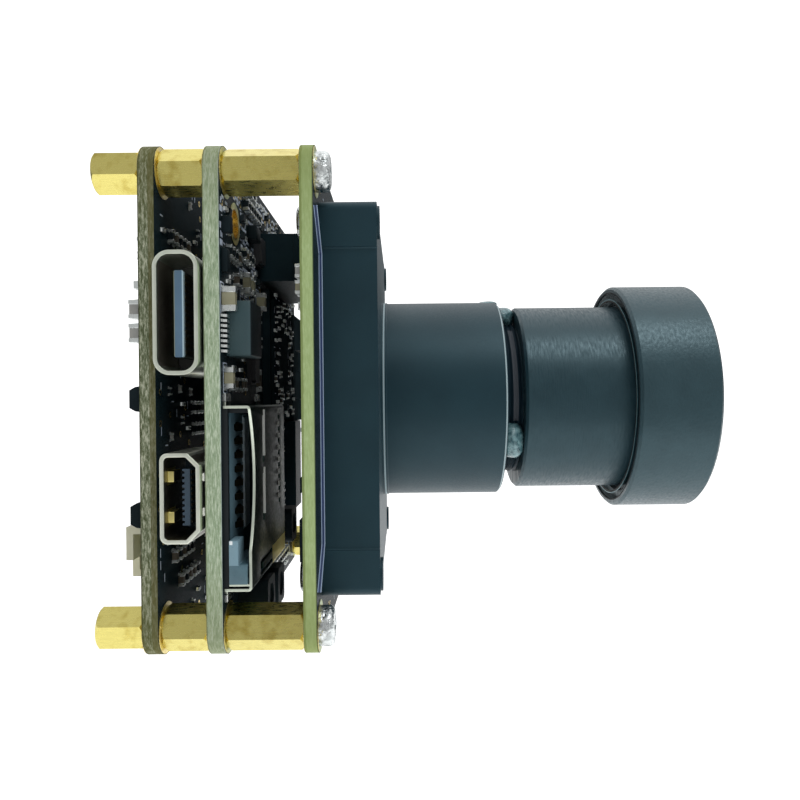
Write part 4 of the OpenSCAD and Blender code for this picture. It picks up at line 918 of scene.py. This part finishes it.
@dataclass
class Boards:
    """The three circuit boards: laminate, print, plated vias and the smallest parts.

    The corner holes lie hole_at from the axis both ways, the two free ones inner_hole_at. Parts
    keep as far from a hole's middle as its clear value, print as far as its ring value.
    """

    hole_at: float = 17.0
    hole_clear: float = 2.1
    hole_ring: float = 1.6
    inner_hole_at: float = 13.9
    inner_hole_clear: float = 1.9
    inner_hole_ring: float = 1.5
    barrel_r: tuple[float, float] = (1.19, 1.14)
    clear: float = 0.25
    apart: float = 0.08
    via_r: float = 0.26
    via_hole_r: float = 0.12
    via_lift: float = 0.02
    via_hole_lift: float = 0.03
    mark_lift: float = 0.015
    upright: tuple[float, float] = (0.05, 0.32)
    level: tuple[float, float] = (0.3, 0.05)
    spot: tuple[float, float] = (0.3, 0.3)
    tiny: Triple = (0.26, 0.32, 0.6)
    tiny_gap: float = 0.2
    package_rim: float = 3.2
    slant: float = 0.6
    print_gap: float = 0.05
    bar_at: tuple[float, float] = (-18.8, 11.3)
    bar_pitch: float = 0.62
    bar_half: float = 0.22
    bar_step: float = 0.25
    bar_end: float = -18.0

    def dress(self, nodes: Nodes) -> None:
        """Gives each board its own laminate, since each is of another make."""
        looks: dict[str, dict[str, Any]] = {
            "rear_board": dict(
                fibre=("#4d543b", "#757d64", "#b6b9a3"), fibre_mm=(0.11, 0.4, 0.5), contrast=0.12,
                rim="#605d3e", rim_share=0.4, back_rim="#3f432a", back_rim_share=0.1, ior=1.06,
            ),
            "main_board": dict(
                fibre=("#8b9e81", "#a7b99b", "#cdd9c3"), fibre_mm=(0.08, 0.4, 0.6), contrast=0.12,
                rim="#b6c7c6", rim_share=0.07, back_rim="#6f7a58", back_rim_share=0.08,
                ends="#83865f", ior=1.14, tint="#a9c6d6",
            ),
            "sensor_board": dict(
                fibre=("#9fb37c", "#a8bc84", "#b2c590"), fibre_mm=(0.15, 0.5, 0.8), rim="#1f2f2a",
                rim_share=0.1, back_rim="#73804a", back_rim_share=0.2, ends="#838d4b", ior=1.1,
                tint="#a9c6d6",
            ),
        }
        for name, look in looks.items():
            low, high = node_box(name)
            faces = dict(back_mm=float(low[0]) + PLATING, front_mm=float(high[0]) - PLATING)
            title = name.replace("_", " ") + " glass laminate"
            paint(nodes[name], Laminate(title, "#061015", 0.5, **faces, **look))
            log.info("dressed %s", name)

    def free_spots(
        self, rng: np.random.Generator, count: int, half: Sequence[float], blocked: Array,
        region: Sequence[float],
    ) -> Array:
        """Draws places at random and keeps those that touch nothing.

        A place is kept when its rectangle misses every blocked one, and stands apart from the
        places drawn before it.

        Args:
            rng: The seeded generator.
            count: The most places wanted.
            half: Half sizes in y and z.
            blocked: Rectangles as (n, 4): lowest y, z, highest y, z.
            region: Lowest y, z, highest y, z of the field.

        Returns:
            Places as (m, 2).
        """
        tries = rng.uniform(region[:2], region[2:], (count * 8, 2)).round(1)
        past_low = tries[:, None] + half > blocked[None, :, :2]
        past_high = tries[:, None] - half < blocked[None, :, 2:]
        tries = tries[~(past_low & past_high).all(axis=2).any(axis=1)]
        near = np.abs(tries[:, None] - tries[None]) < 2 * np.asarray(half) + self.apart
        return tries[~np.tril(near.all(axis=2), -1).any(axis=1)][:count]

    def blocked(self, nodes: Nodes, names: Sequence[str]) -> Array:
        """Rectangles of what stands on a face, with the rings round the holes."""
        boxes = np.concatenate([solid_boxes(nodes[name]) for name in names])
        flat = np.concatenate([boxes[:, 0, 1:] - self.clear, boxes[:, 1, 1:] + self.clear], axis=1)
        signs = np.array([(-1, -1), (-1, 1), (1, -1), (1, 1)])
        holes = ((self.hole_at, self.hole_clear), (self.inner_hole_at, self.inner_hole_clear))
        rings = [np.concatenate([signs * at - r, signs * at + r], axis=1) for at, r in holes]
        return np.concatenate([flat, *rings])

    def clutter(
        self, nodes: Nodes, name: str, face: float, way: float, names: Sequence[str],
        fields: Sequence[Sequence[float]], seed: int,
    ) -> None:
        """Adds the smallest parts, vias and printed marks to the free places of a face.

        Args:
            nodes: The CAD nodes.
            name: The new piece's name.
            face: X of the face.
            way: 1 for a front face, -1 for a rear face.
            names: Nodes that stand on the face.
            fields: Rows of (tiny parts, vias, marks, lowest y, z, highest y, z).
            seed: Seed of the drawing.
        """
        rng = np.random.default_rng(seed)
        blocked = self.blocked(nodes, names)
        looks = [TIN, GREY_CERAMIC, BROWN_CERAMIC, CHIP, GOLD, INK]
        dark, gold, ink = (looks.index(finish) for finish in (CHIP, GOLD, INK))
        skin = Skin(name, looks)
        up = np.array((way, 0.0, 0.0))
        height, short, long = self.tiny
        bottom, top = sorted((face, face + way * height))
        for parts, vias, marks, *region in fields:
            for size in ((long, short), (short, long)):
                body = np.array(size) / 2
                half = body + self.tiny_gap
                spots = self.free_spots(rng, int(parts) // 2, half, blocked, region)
                low = np.column_stack([np.full(len(spots), bottom), spots - body])
                high = np.column_stack([np.full(len(spots), top), spots + body])
                boxes = np.stack([low, high], axis=1)
                kinds = rng.integers(1, dark + 1, len(spots))
                ChipParts(face, way, fillet=0.08).fill(skin, boxes, kinds)
                blocked = np.concatenate([blocked, np.concatenate([spots - half, spots + half], axis=1)])
            spots = self.free_spots(rng, int(vias), self.spot, blocked, region)
            skin.prisms(discs(face, spots, self.via_r), up * self.via_lift, gold)
            # A dark disc in the middle of each via is painted shade that stands for its hole.
            skin.prisms(discs(face, spots, self.via_hole_r, 6), up * self.via_hole_lift, dark)
            spots = self.free_spots(rng, int(marks), self.spot, blocked, region)
            stroke = np.where(rng.random(len(spots))[:, None] < 0.5, self.upright, self.level)
            skin.prisms(patches(face, spots - stroke, spots + stroke), up * self.mark_lift, ink)
        piece = skin.build()

    def strokes(self, blocked: Array, face: float) -> None:
        """Adds the print near the main board's top edge.

        Slanting white strokes and black specks, a stepped row of bars at the edge, and short
        dashes in rows. Each row of kinds is count, half sizes, finish and height.
        """
        rng = np.random.default_rng(21)
        skin = Skin("main_print", [INK, CHIP])
        up = np.array((1.0, 0.0, 0.0))
        kinds = (
            (70, (1.2, 0.13), 0, 0.02), (40, (0.35, 0.3), 1, 0.3),
            (60, (0.12, 0.5), 0, 0.02), (50, (0.5, 0.12), 0, 0.02),
        )
        for count, half, slot, height in kinds:
            spots = self.free_spots(rng, count, half, blocked, (-17.6, 10.6, 17.6, 18.4))
            low, high = spots - half, spots + half
            loops = patches(face, low, high)
            loops[..., 1] += (loops[..., 2] - spots[:, None, 1]) * self.slant
            skin.prisms(loops, up * height, slot)
            filled = np.concatenate([low - self.print_gap, high + self.print_gap], axis=1)
            blocked = np.concatenate([blocked, filled])
        y = self.bar_at[0] + self.bar_step * np.array([0, 1, 0, 2, 0, 1])
        z = self.bar_at[1] + self.bar_pitch * np.arange(6)
        bars = rectangles(face, y, self.bar_end, z, z + 2 * self.bar_half)
        skin.prisms(bars, up * 0.02)
        spots = self.free_spots(rng, 90, (0.4, 0.17), self.near_hole(), (-18.0, 12.3, -9.5, 18.2))
        dash = np.array((0.36, 0.11))
        skin.prisms(patches(face, spots - dash, spots + dash), up * 0.018)
        piece = skin.build()

    def near_hole(self) -> Array:
        """The squares that the gold rings of the near top corner fill, as (n, 4)."""
        rings = ((self.hole_at, self.hole_ring), (self.inner_hole_at, self.inner_hole_ring))
        return np.array([(-at - r, at - r, -at + r, at + r) for at, r in rings])

    def plate_holes(self, back: float, front: float) -> None:
        """Adds the gold barrels inside the main board's two free holes, as thin rings."""
        skin = Skin("hole_plating", [GOLD])
        for side in (-1.0, 1.0):
            y, z = side * self.inner_hole_at, self.inner_hole_at
            skin.sheet(washer(back, front, *self.barrel_r, 32, y, z))
        piece = skin.build()

    def build(self, nodes: Nodes) -> None:
        """Dresses the boards and fills their faces."""
        self.dress(nodes)
        rear, main, sensor = (node_box(n)[:, 0] for n in ("rear_board", "main_board", "sensor_board"))
        rear_front, main_front, sensor_front = (float(x[1]) - PLATING for x in (rear, main, sensor))
        rear_back, sensor_back = float(rear[0]) + PLATING, float(sensor[0]) + PLATING
        self.plate_holes(float(main[0]), float(main[1]))
        on_face = ChipParts(main_front, 1.0, framed=False, fillet=0.1)
        on_face.build(nodes, "main_small_parts", (CHIP, CHIP, BROWN_CERAMIC, CHIP))
        ChipParts(main_front, 1.0).build(nodes, "main_capacitors", (TAN_CERAMIC,))
        on_face = ChipParts(rear_front, 1.0, framed=False, fillet=0.08)
        on_face.build(nodes, "rear_small_parts", (CHIP, BROWN_CERAMIC, CHIP))
        ChipParts(sensor_back, -1.0).build(nodes, "sensor_small_parts", (TAN_CERAMIC, GREY_CERAMIC))
        ChipParts(rear_back, -1.0).build(nodes, "rear_capacitors", (GREY_CERAMIC,))
        on_main = (
            "card_cover", "processor", "memory_chip", "interface_chip", "chip_leads", "flat_cable_socket",
            "link_socket", "power_coils", "crystals", "main_capacitors", "main_small_parts", "main_chips",
        )
        fields = (
            (60, 60, 60, -18.4, 8.2, 2.0, 18.4), (26, 20, 30, -18.4, -0.2, -10.0, 8.2),
            (20, 20, 20, -12.0, -18.4, 4.0, -14.2), (60, 80, 60, -3.0, -18.4, 18.4, 18.4),
        )
        self.clutter(nodes, "main_front_details", main_front, 1.0, on_main, fields, 3)
        self.strokes(self.blocked(nodes, on_main), main_front)
        low, high = node_box("processor")
        (y0, z0), (y1, z1) = low[1:] + 0.4, high[1:] - 0.4
        rim = self.package_rim
        fields = (
            (16, 0, 10, y0, z0, y1, z0 + rim), (16, 0, 10, y0, z1 - rim, y1, z1),
            (12, 0, 6, y0, z0 + rim, y0 + rim, z1 - rim), (12, 0, 6, y1 - rim, z0 + rim, y1, z1 - rim),
        )
        self.clutter(nodes, "processor_details", float(high[0]), 1.0, ("link_socket",), fields, 13)
        on_rear = ("rear_small_parts", "rear_link_socket")
        fields = ((44, 50, 60, -18.4, -18.4, -4.0, 18.4), (40, 50, 40, -4.0, -18.4, 18.4, 18.4))
        self.clutter(nodes, "rear_front_details", rear_front, 1.0, on_rear, fields, 5)
        on_back = ("rear_capacitors", "rear_diodes", "wafer_housing")
        fields = ((70, 80, 60, -18.4, -18.4, 18.4, 18.4),)
        self.clutter(nodes, "rear_back_details", rear_back, -1.0, on_back, fields, 7)
        on_sensor = ("sensor_chips", "sensor_small_parts", "link_plug", "holder_screws")
        fields = ((60, 70, 60, -18.4, -18.4, 18.4, 18.4),)
        self.clutter(nodes, "sensor_back_details", sensor_back, -1.0, on_sensor, fields, 9)
        fields = (
            (0, 12, 8, 16.2, -14.0, 18.4, 14.0), (0, 12, 8, -14.0, 16.2, 14.0, 18.4),
            (0, 12, 8, -14.0, -18.4, 14.0, -16.2),
        )
        self.clutter(nodes, "sensor_front_details", sensor_front, 1.0, ("foam_seal",), fields, 11)


@dataclass
class Leads:
    """Tinned leads and solder where larger parts meet their board.

    diode_lead is a lead's rise, reach and width. leg_half, tab_half and foot_half are the half
    sizes of solder lumps along X, Y and Z; foot_at are the video shell's two, at its mouth.
    """

    width: float = 0.22
    reach: float = 0.3
    rise: float = 0.16
    pitch: float = 0.5
    overlap: float = 0.02
    diode_lead: Triple = (0.2, 0.45, 1.0)
    leg_y: tuple[float, float] = (2.15, 5.75)
    leg_in: float = 0.62
    leg_half: Triple = (0.12, 0.75, 0.36)
    tab_y: tuple[float, float] = (1.3, 2.2)
    tab_half: Triple = (0.14, 0.9, 0.32)
    foot_at: tuple[Triple, ...] = ((8.15, -18.5, -5.6), (8.15, -18.5, -8.12))
    foot_half: Triple = (0.145, 0.45, 0.3)

    def row(self, skin: Skin, box: Array, face: float, way: float) -> None:
        """Adds short leads along a chip's two ends in z: bars that lie on the face."""
        (_, y0, z0), (_, y1, z1) = box
        y = np.arange(y0 + 0.3, y1 - 0.25, self.pitch)
        for low, high in ((z0 - self.reach, z0 + self.overlap), (z1 - self.overlap, z1 + self.reach)):
            loops = rectangles(face, y - self.width / 2, y + self.width / 2, low, high)
            skin.prisms(loops, np.array((way * self.rise, 0, 0)))

    def build(self, nodes: Nodes) -> None:
        """Adds leads to the sensor board's chips and the diodes, and solder to the shells' legs."""
        skin = Skin("leads_and_solder", [TIN])
        sensor_back = float(node_box("sensor_chips")[1, 0])
        for box in solid_boxes(nodes["sensor_chips"]):
            self.row(skin, box, sensor_back, -1.0)
        rear_back = float(node_box("rear_diodes")[1, 0])
        rise, reach, width = self.diode_lead
        for low, high in solid_boxes(nodes["rear_diodes"]):
            y, z = high[1] - 0.05, (low[2] + high[2]) / 2
            loops = rectangles(rear_back, y, y + reach, z - width / 2, z + width / 2)
            skin.prisms(loops, np.array((-rise, 0, 0)))
        main_back, main_front = node_box("main_board")[:, 0] + (PLATING, -PLATING)
        for name in ("usb_shell", "video_shell"):
            low, high = node_box(name)
            z_legs = (low[2] + self.leg_in, high[2] - self.leg_in)
            spots = [(main_back - 0.1, low[1] + y, z) for y in self.leg_y for z in z_legs]
            skin.blocks(np.array(spots), self.leg_half, 0.1)
        low, high = node_box("card_cover")
        y_tabs = (low[1] + self.tab_y[0], high[1] - self.tab_y[1])
        spots = [(main_front + 0.08, y, z) for y in y_tabs for z in (low[2] - 0.1, high[2] + 0.1)]
        skin.blocks(np.array(spots), self.tab_half, 0.12)
        piece = skin.build()
        skin = Skin("video_solder", [SHEARED])
        skin.blocks(np.array(self.foot_at), self.foot_half, 0.11)
        skin.build()


@dataclass
class CardSocket:
    """What shows in the card socket's cover, and the ejector's coil spring.

    Places along Z are counted down from the cover's top edge. lip_x is how far a lip starts below
    the cover's face, and lip_rise its thickness.
    """

    slit_y: float = -13.86
    slit_len: float = 3.75
    slit_ends: tuple[float, float] = (4.55, 9.1)
    lip_width: float = 0.15
    lip_in: float = 0.05
    lip_x: float = 0.16
    lip_rise: float = 0.28
    dash_y: float = -6.75
    dash_x: float = 0.04
    dash_half: Triple = (0.16, 0.24, 0.2)
    contacts: int = 8
    pitch: float = 1.06
    dash_rise: float = 0.55
    first_drop: float = 1.64
    turns: int = 9
    steps: int = 20
    wire: float = 0.16
    coil: float = 0.9
    travel: float = 3.6

    def cover_marks(self) -> None:
        """Adds the bright lips behind the slits, and the contact tails in the small windows."""
        top, _, top_z = node_box("card_cover")[1]
        skin = Skin("cover_lips", [SHEARED])
        low = top_z - np.array(self.slit_ends) + self.lip_in
        high = low + self.slit_len - 2 * self.lip_in
        loops = rectangles(top - self.lip_x, self.slit_y, self.slit_y + self.lip_width, low, high)
        skin.prisms(loops, np.array((self.lip_rise, 0, 0)))
        z = top_z - self.first_drop - self.pitch * np.arange(self.contacts) + self.dash_rise
        spots = np.array([(top - self.dash_x, self.dash_y, at) for at in z])
        skin.blocks(spots, self.dash_half, 0.05)
        piece = skin.build()

    def spring(self) -> None:
        """Adds the coil spring: a ring of wire carried along a helix.

        The helix is (cos a, sin a) times the coil's radius at angle a, and rises evenly with a;
        its first and last half turns lie flat.
        """
        low, high = node_box("card_spring")
        middle = (low + high) / 2
        radius, half = (self.coil - self.wire) / 2, self.wire / 2
        turn = np.linspace(0.0, self.turns, self.turns * self.steps + 1)[:, None]
        rise = np.clip((turn - 0.5) / (self.turns - 1), 0.0, 1.0)
        y = low[1] + half + rise * (high[1] - low[1] - self.wire)
        a, b = 2 * np.pi * turn, circle(8)
        r = radius + half * np.cos(b)
        tube = np.stack([middle[0] + r * np.cos(a), y + half * np.sin(b), middle[2] + r * np.sin(a)], -1)
        skin = Skin("ejector_spring", [WIRE])
        skin.sheet(capped(tube))
        piece = skin.build()
        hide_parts("card_spring")
        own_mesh(piece)

    def build(self) -> None:
        """Builds both."""
        self.cover_marks()
        self.spring()


@dataclass
class Optics:
    """The lens: smooth glasses, its thread in the gap, the glue that locks it, and its ring.

    The gasket under the holder's flange is here too. Its path has an ear at each corner screw.
    """

    thread_r: float = 7.01
    thread_depth: float = 0.2
    thread_pitch: float = 0.5
    thread_len: float = 1.5
    thread_play: float = 0.05
    core_share: float = 0.97
    lump: float = 0.07
    spill: float = 0.3
    bead_growth: Triple = (1.5, 1.3, 1.1)
    smear_at: Triple = (31.0, -0.5, 8.97)
    smear_half: Triple = (0.95, 1.3, 0.36)
    gasket_y: float = -15.43
    gasket_z: float = 11.2
    ear_y: float = -18.6
    ear_z: float = 14.1
    gasket_t: float = 0.28
    line_t: float = 0.06
    groove_out: float = 0.012
    groove_in: float = 0.008
    least_facing: float = 0.3

    def thread(self) -> None:
        """Adds the thread's crests to the barrel's tail where it shows in the gap.

        The radius is r0 plus the depth times a triangle wave of (x / pitch + angle / turn), which
        makes a true helix.
        """
        # The pale strip on the tail is a painted reflection of a light strip.
        finish = Turned(
            "anodised thread, painted reflection", "#14252f", 0.55, ior=1.35, tint="#b3cbda", relief_mm=0.01,
            zones=(Zone("#555a60", (("X", 32.5, 32.95), ("Z", -2.1, 6.2), ("Y", -7.5, -2.0))),),
        )
        skin = Skin("lens_thread", [finish])
        start = float(node_box("lens_holder")[1, 0]) + self.thread_play
        x, a = np.linspace(start, start + self.thread_len, 49)[:, None], circle(96)
        phase = (x / self.thread_pitch + a / (2 * np.pi)) % 1.0
        grid = turned(x, self.thread_r + self.thread_depth * (1 - np.abs(2 * phase - 1)), a)
        inner = grid[[0, -1]] * (1.0, self.core_share, self.core_share)
        skin.sheet(np.concatenate([inner[:1], grid, inner[1:], inner[:1]]))
        piece = skin.build()

    def glue(self, nodes: Nodes) -> None:
        """Replaces the two beads with lumps, and adds a smear on the tube's top edge.

        Each is a globe scaled to a box and swelled by 1 + lump * (sin(3 a + 1) sin(2 b) +
        cos(2 a) sin(5 b) / 2) at longitude a and latitude b.
        """
        skin = Skin("glue_lumps", [GLUE])
        a, b = circle(40), np.linspace(0.0, np.pi, 25)[:, None]
        swell = 1 + self.lump * (np.sin(3 * a + 1) * np.sin(2 * b) + np.cos(2 * a) * np.sin(5 * b) / 2)
        globe = turned(np.cos(b) * swell, np.sin(b) * swell, a)
        low, high = solid_boxes(nodes["glue_bead"]).swapaxes(0, 1)
        middles = np.concatenate([(low + high) / 2 - (self.spill, 0.0, 0.0), [self.smear_at]])
        halves = np.concatenate([(high - low) / 2 * self.bead_growth, [self.smear_half]])
        for middle, half in zip(middles, halves):
            skin.sheet(middle + globe * half, flip=True)
        piece = skin.build()
        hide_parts("glue_bead")

    def gasket(self) -> None:
        """Adds the printed gasket's edges that show between board and flange.

        Each path runs along one side of the flange and turns out towards the corner screws; at
        each point of the path a rectangle stands across it.
        """
        base = float(node_box("sensor_board")[1, 0]) - PLATING
        ear, side_at = (self.ear_y, self.ear_z), (self.gasket_y, self.gasket_z)
        path = np.array([ear, side_at, (side_at[0], -side_at[1]), (ear[0], -ear[1])])
        skin = Skin("gasket_edge", [BLUE_LINE, BLUE_BAND])
        thick, line = self.gasket_t, self.line_t
        strips = ((0.0, line, 0.06, 0), (0.05, thick - 0.05, 0.035, 1), (thick - line, thick, 0.06, 0))
        for side, (bottom, top, half, slot) in itertools.product((1.0, -1.0), strips):
            shift = np.array((half * side, 0.0))
            loop = np.stack([path * side - shift, path * side + shift], axis=1)
            low = np.concatenate([np.full(loop.shape[:2] + (1,), base + bottom), loop], axis=2)
            high = low + np.array((top - bottom, 0.0, 0.0))
            ring = np.concatenate([low, high[:, ::-1], low[:, :1]], axis=1)
            skin.sheet(capped(ring), slot)
        piece = skin.build(smooth_deg=20.0)

    def glasses(self, nodes: Nodes) -> None:
        """Replaces the glasses by smooth ones.

        The CAD's arcs are broken into cones. The rings of each face give back its curve, as the
        polynomial in r squared, x = c0 + c1 r^2 + c2 r^4 + c3 r^6, that fits them best.
        """
        for name in ("front_glass", "second_glass", "third_glass", "rear_glass"):
            mesh = nodes[name].data
            points = np.array([v.co for v in mesh.vertices]) / MM
            reach = float(np.hypot(points[:, 1], points[:, 2]).max())
            sides = []
            for way in (1.0, -1.0):
                faces = [f for f in mesh.polygons if f.normal.x * way > self.least_facing]
                face = points[sorted({i for f in faces for i in f.vertices})]
                level = face[:, 0].mean()
                rings = np.vander((np.hypot(face[:, 1], face[:, 2]) / reach) ** 2, 4)
                sides.append((np.linalg.lstsq(rings, face[:, 0] - level, rcond=None)[0], level))
            share = np.linspace(0.0, 1.0, 41)
            front, back = (np.vander(share**2, 4) @ fit + level for fit, level in sides)
            profile_x = np.concatenate([front, back[::-1]])[:, None]
            profile_r = np.concatenate([share, share[::-1]])[:, None] * reach
            grid = turned(profile_x, profile_r, circle(128))
            skin = Skin(name + ".smooth", [NODE_FINISH[name]])
            skin.sheet(grid, flip=True)
            piece = skin.build(smooth_deg=30.0)
            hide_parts(name)

    def ring_painted_shade_and_highlight(self) -> None:
        """Adds to the front ring's back face two dark flat rings, painted shade that stands for grooves,
        and a pale flat ring, a painted highlight on an edge.
        """
        back = float(node_box("front_ring")[0, 0])
        bright = Finish(
            "black anodised aluminium, painted highlight", "#5f7f86", 0.4, tint="#bbdadf", grain_mm=0.3, relief_mm=0.002,
        )
        skin = Skin("ring_painted_shade_and_highlight", [Black.MATT.value, bright])
        for inner, outer, slot in ((9.12, 9.3, 0), (9.32, 9.42, 1), (9.96, 10.06, 0)):
            skin.sheet(washer(back - self.groove_out, back + self.groove_in, outer, inner, 96), slot)
        piece = skin.build()

    def build(self, nodes: Nodes) -> None:
        """Builds them all."""
        self.glasses(nodes)
        self.thread()
        self.glue(nodes)
        self.gasket()
        self.ring_painted_shade_and_highlight()


@dataclass
class Studio:
    """The stage: a pale floor, a tent as world light, one soft lamp, and the camera.

    The camera stands where the photograph's did: level with the lens, square to its axis.
    """

    focal_px: float = 740.0
    frame_px: float = 800.0
    sensor_mm: float = 36.0
    eye_mm: Triple = (22.46, -72.5, -0.16)
    roll_deg: float = 0.6
    floor_z_mm: float = -60.0
    floor_half_mm: float = 4000.0
    floor_near_mm: float = -90.0
    floor_glow: float = 0.45
    tent_glow: float = 1.35
    lamp_at_mm: Triple = (95.0, -95.0, 180.0)
    lamp_aim_mm: Triple = (38.0, -5.0, 3.0)
    lamp_side_mm: float = 90.0
    lamp_glow: float = 5.0

    def camera(self) -> None:
        """Places the camera: it looks along +Y, turned by roll_deg about its view."""
        data = bpy.data.cameras.new("view")
        data.sensor_width = self.sensor_mm
        data.lens = self.focal_px / self.frame_px * self.sensor_mm
        data.clip_start, data.clip_end = 0.001, 50.0
        eye = hang("view", data)
        c, s = math.cos(math.radians(self.roll_deg)), math.sin(math.radians(self.roll_deg))
        turn = Matrix(((c, s, 0.0), (0.0, 0.0, -1.0), (-s, c, 0.0)))
        eye.matrix_world = Matrix.Translation([v * MM for v in self.eye_mm]) @ turn.to_4x4()
        bpy.context.scene.camera = eye

    def lamp(self) -> None:
        """Adds a square soft lamp above the lens, on the camera's side, that faces the module."""
        data = bpy.data.lights.new("lamp over", "AREA")
        size = self.lamp_side_mm * MM
        data.shape, data.size = "SQUARE", size
        data.energy = self.lamp_glow * math.pi * size**2
        place = np.array(self.lamp_at_mm) * MM
        back = place - np.array(self.lamp_aim_mm) * MM
        back /= np.linalg.norm(back)
        side = np.cross((0.0, 0.3, 1.0), back)
        side /= np.linalg.norm(side)
        turn = Matrix(np.stack([side, np.cross(back, side), back], axis=1).tolist())
        hang("lamp over", data).matrix_world = Matrix.Translation(place.tolist()) @ turn.to_4x4()

    def tent(self) -> None:
        """World light by direction.

        Behind the part it is dark near the horizon and bright above and below. On the camera's
        side it is darkest about forty degrees up and brightest below, and paler to left and right.
        The camera itself sees white.
        """
        world = bpy.data.worlds.new("tent")
        bpy.context.scene.world = world
        world.use_nodes = True
        tree = world.node_tree
        tree.nodes.clear()
        way = add(tree, "SeparateXYZ", {0: add(tree, "TexCoord").outputs["Generated"]})
        rise = remap(tree, way.outputs["Z"], -1.0, 1.0)
        stops = (
            (0.001, "#e4e4e4"), (0.1, "#d2d2d2"), (0.25, "#bfbfbf"), (0.36, "#a4a4a4"), (0.46, "#868686"),
            (0.65, "#707070"), (0.82, "#6a6a6a"), (0.93, "#b4b4b4"), (0.999, "#d0d0d0"),
        )
        aside = remap(tree, calc(tree, "ABSOLUTE", way.outputs["X"]), 0.04, 0.28, kind="SMOOTHSTEP")
        near = mix(tree, aside, ramp(tree, rise, stops), linear("#b0b0b0"))
        stops = (
            (0.001, "#ffffff"), (0.25, "#e0e0e0"), (0.4, "#959595"), (0.46, "#4a4a4a"), (0.5, "#333333"),
            (0.54, "#4a4a4a"), (0.62, "#a8a8a8"), (0.75, "#e0e0e0"), (0.999, "#ffffff"),
        )
        behind = remap(tree, way.outputs["Y"], -0.4, 0.4, kind="SMOOTHSTEP")
        blend = mix(tree, behind, near, ramp(tree, rise, stops))
        seen = add(tree, "LightPath").outputs["Is Camera Ray"]
        glow = add(tree, "Background", {0: mix(tree, seen, blend, WHITE), 1: self.tent_glow})
        out = add(tree, "OutputWorld")
        tree.links.new(glow.outputs[0], out.inputs[0])

    def floor(self) -> None:
        """A plain pale floor below the part, lit from within like a light table."""
        half, z, near = self.floor_half_mm * MM, self.floor_z_mm * MM, self.floor_near_mm * MM
        mesh = bpy.data.meshes.new("floor")
        corners = [(-half, near, z), (half, near, z), (half, half, z), (-half, half, z)]
        mesh.from_pydata(corners, [], [(0, 1, 2, 3)])
        floor = hang("floor", mesh)
        table = Finish(
            "white light table", "#fbfbfb", 0.8, spread=0.02, relief_mm=0.0, grain_mm=4.0, shade_mm=60.0,
        )
        made = table.material()
        shader = next(n for n in made.node_tree.nodes if n.type == "BSDF_PRINCIPLED")
        shader.inputs["Emission Color"].default_value = WHITE
        shader.inputs["Emission Strength"].default_value = self.floor_glow
        mesh.materials.append(made)

    def build(self) -> None:
        """Makes the whole stage."""
        bpy.context.scene.view_settings.view_transform = "Standard"
        self.camera()
        self.tent()
        self.floor()
        self.lamp()


def main() -> None:
    """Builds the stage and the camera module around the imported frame."""
    logging.basicConfig(level=logging.INFO, format="%(name)s: %(message)s")
    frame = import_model()
    Studio().build()
    nodes: Nodes = frame["nodes"]
    dress_nodes(nodes)
    for soft in SOFT:
        soft.build(nodes, NODE_FINISH[soft.node])
    Boards().build(nodes)
    Leads().build(nodes)
    CardSocket().build()
    Optics().build(nodes)
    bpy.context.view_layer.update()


if __name__ == "__main__":
    main()
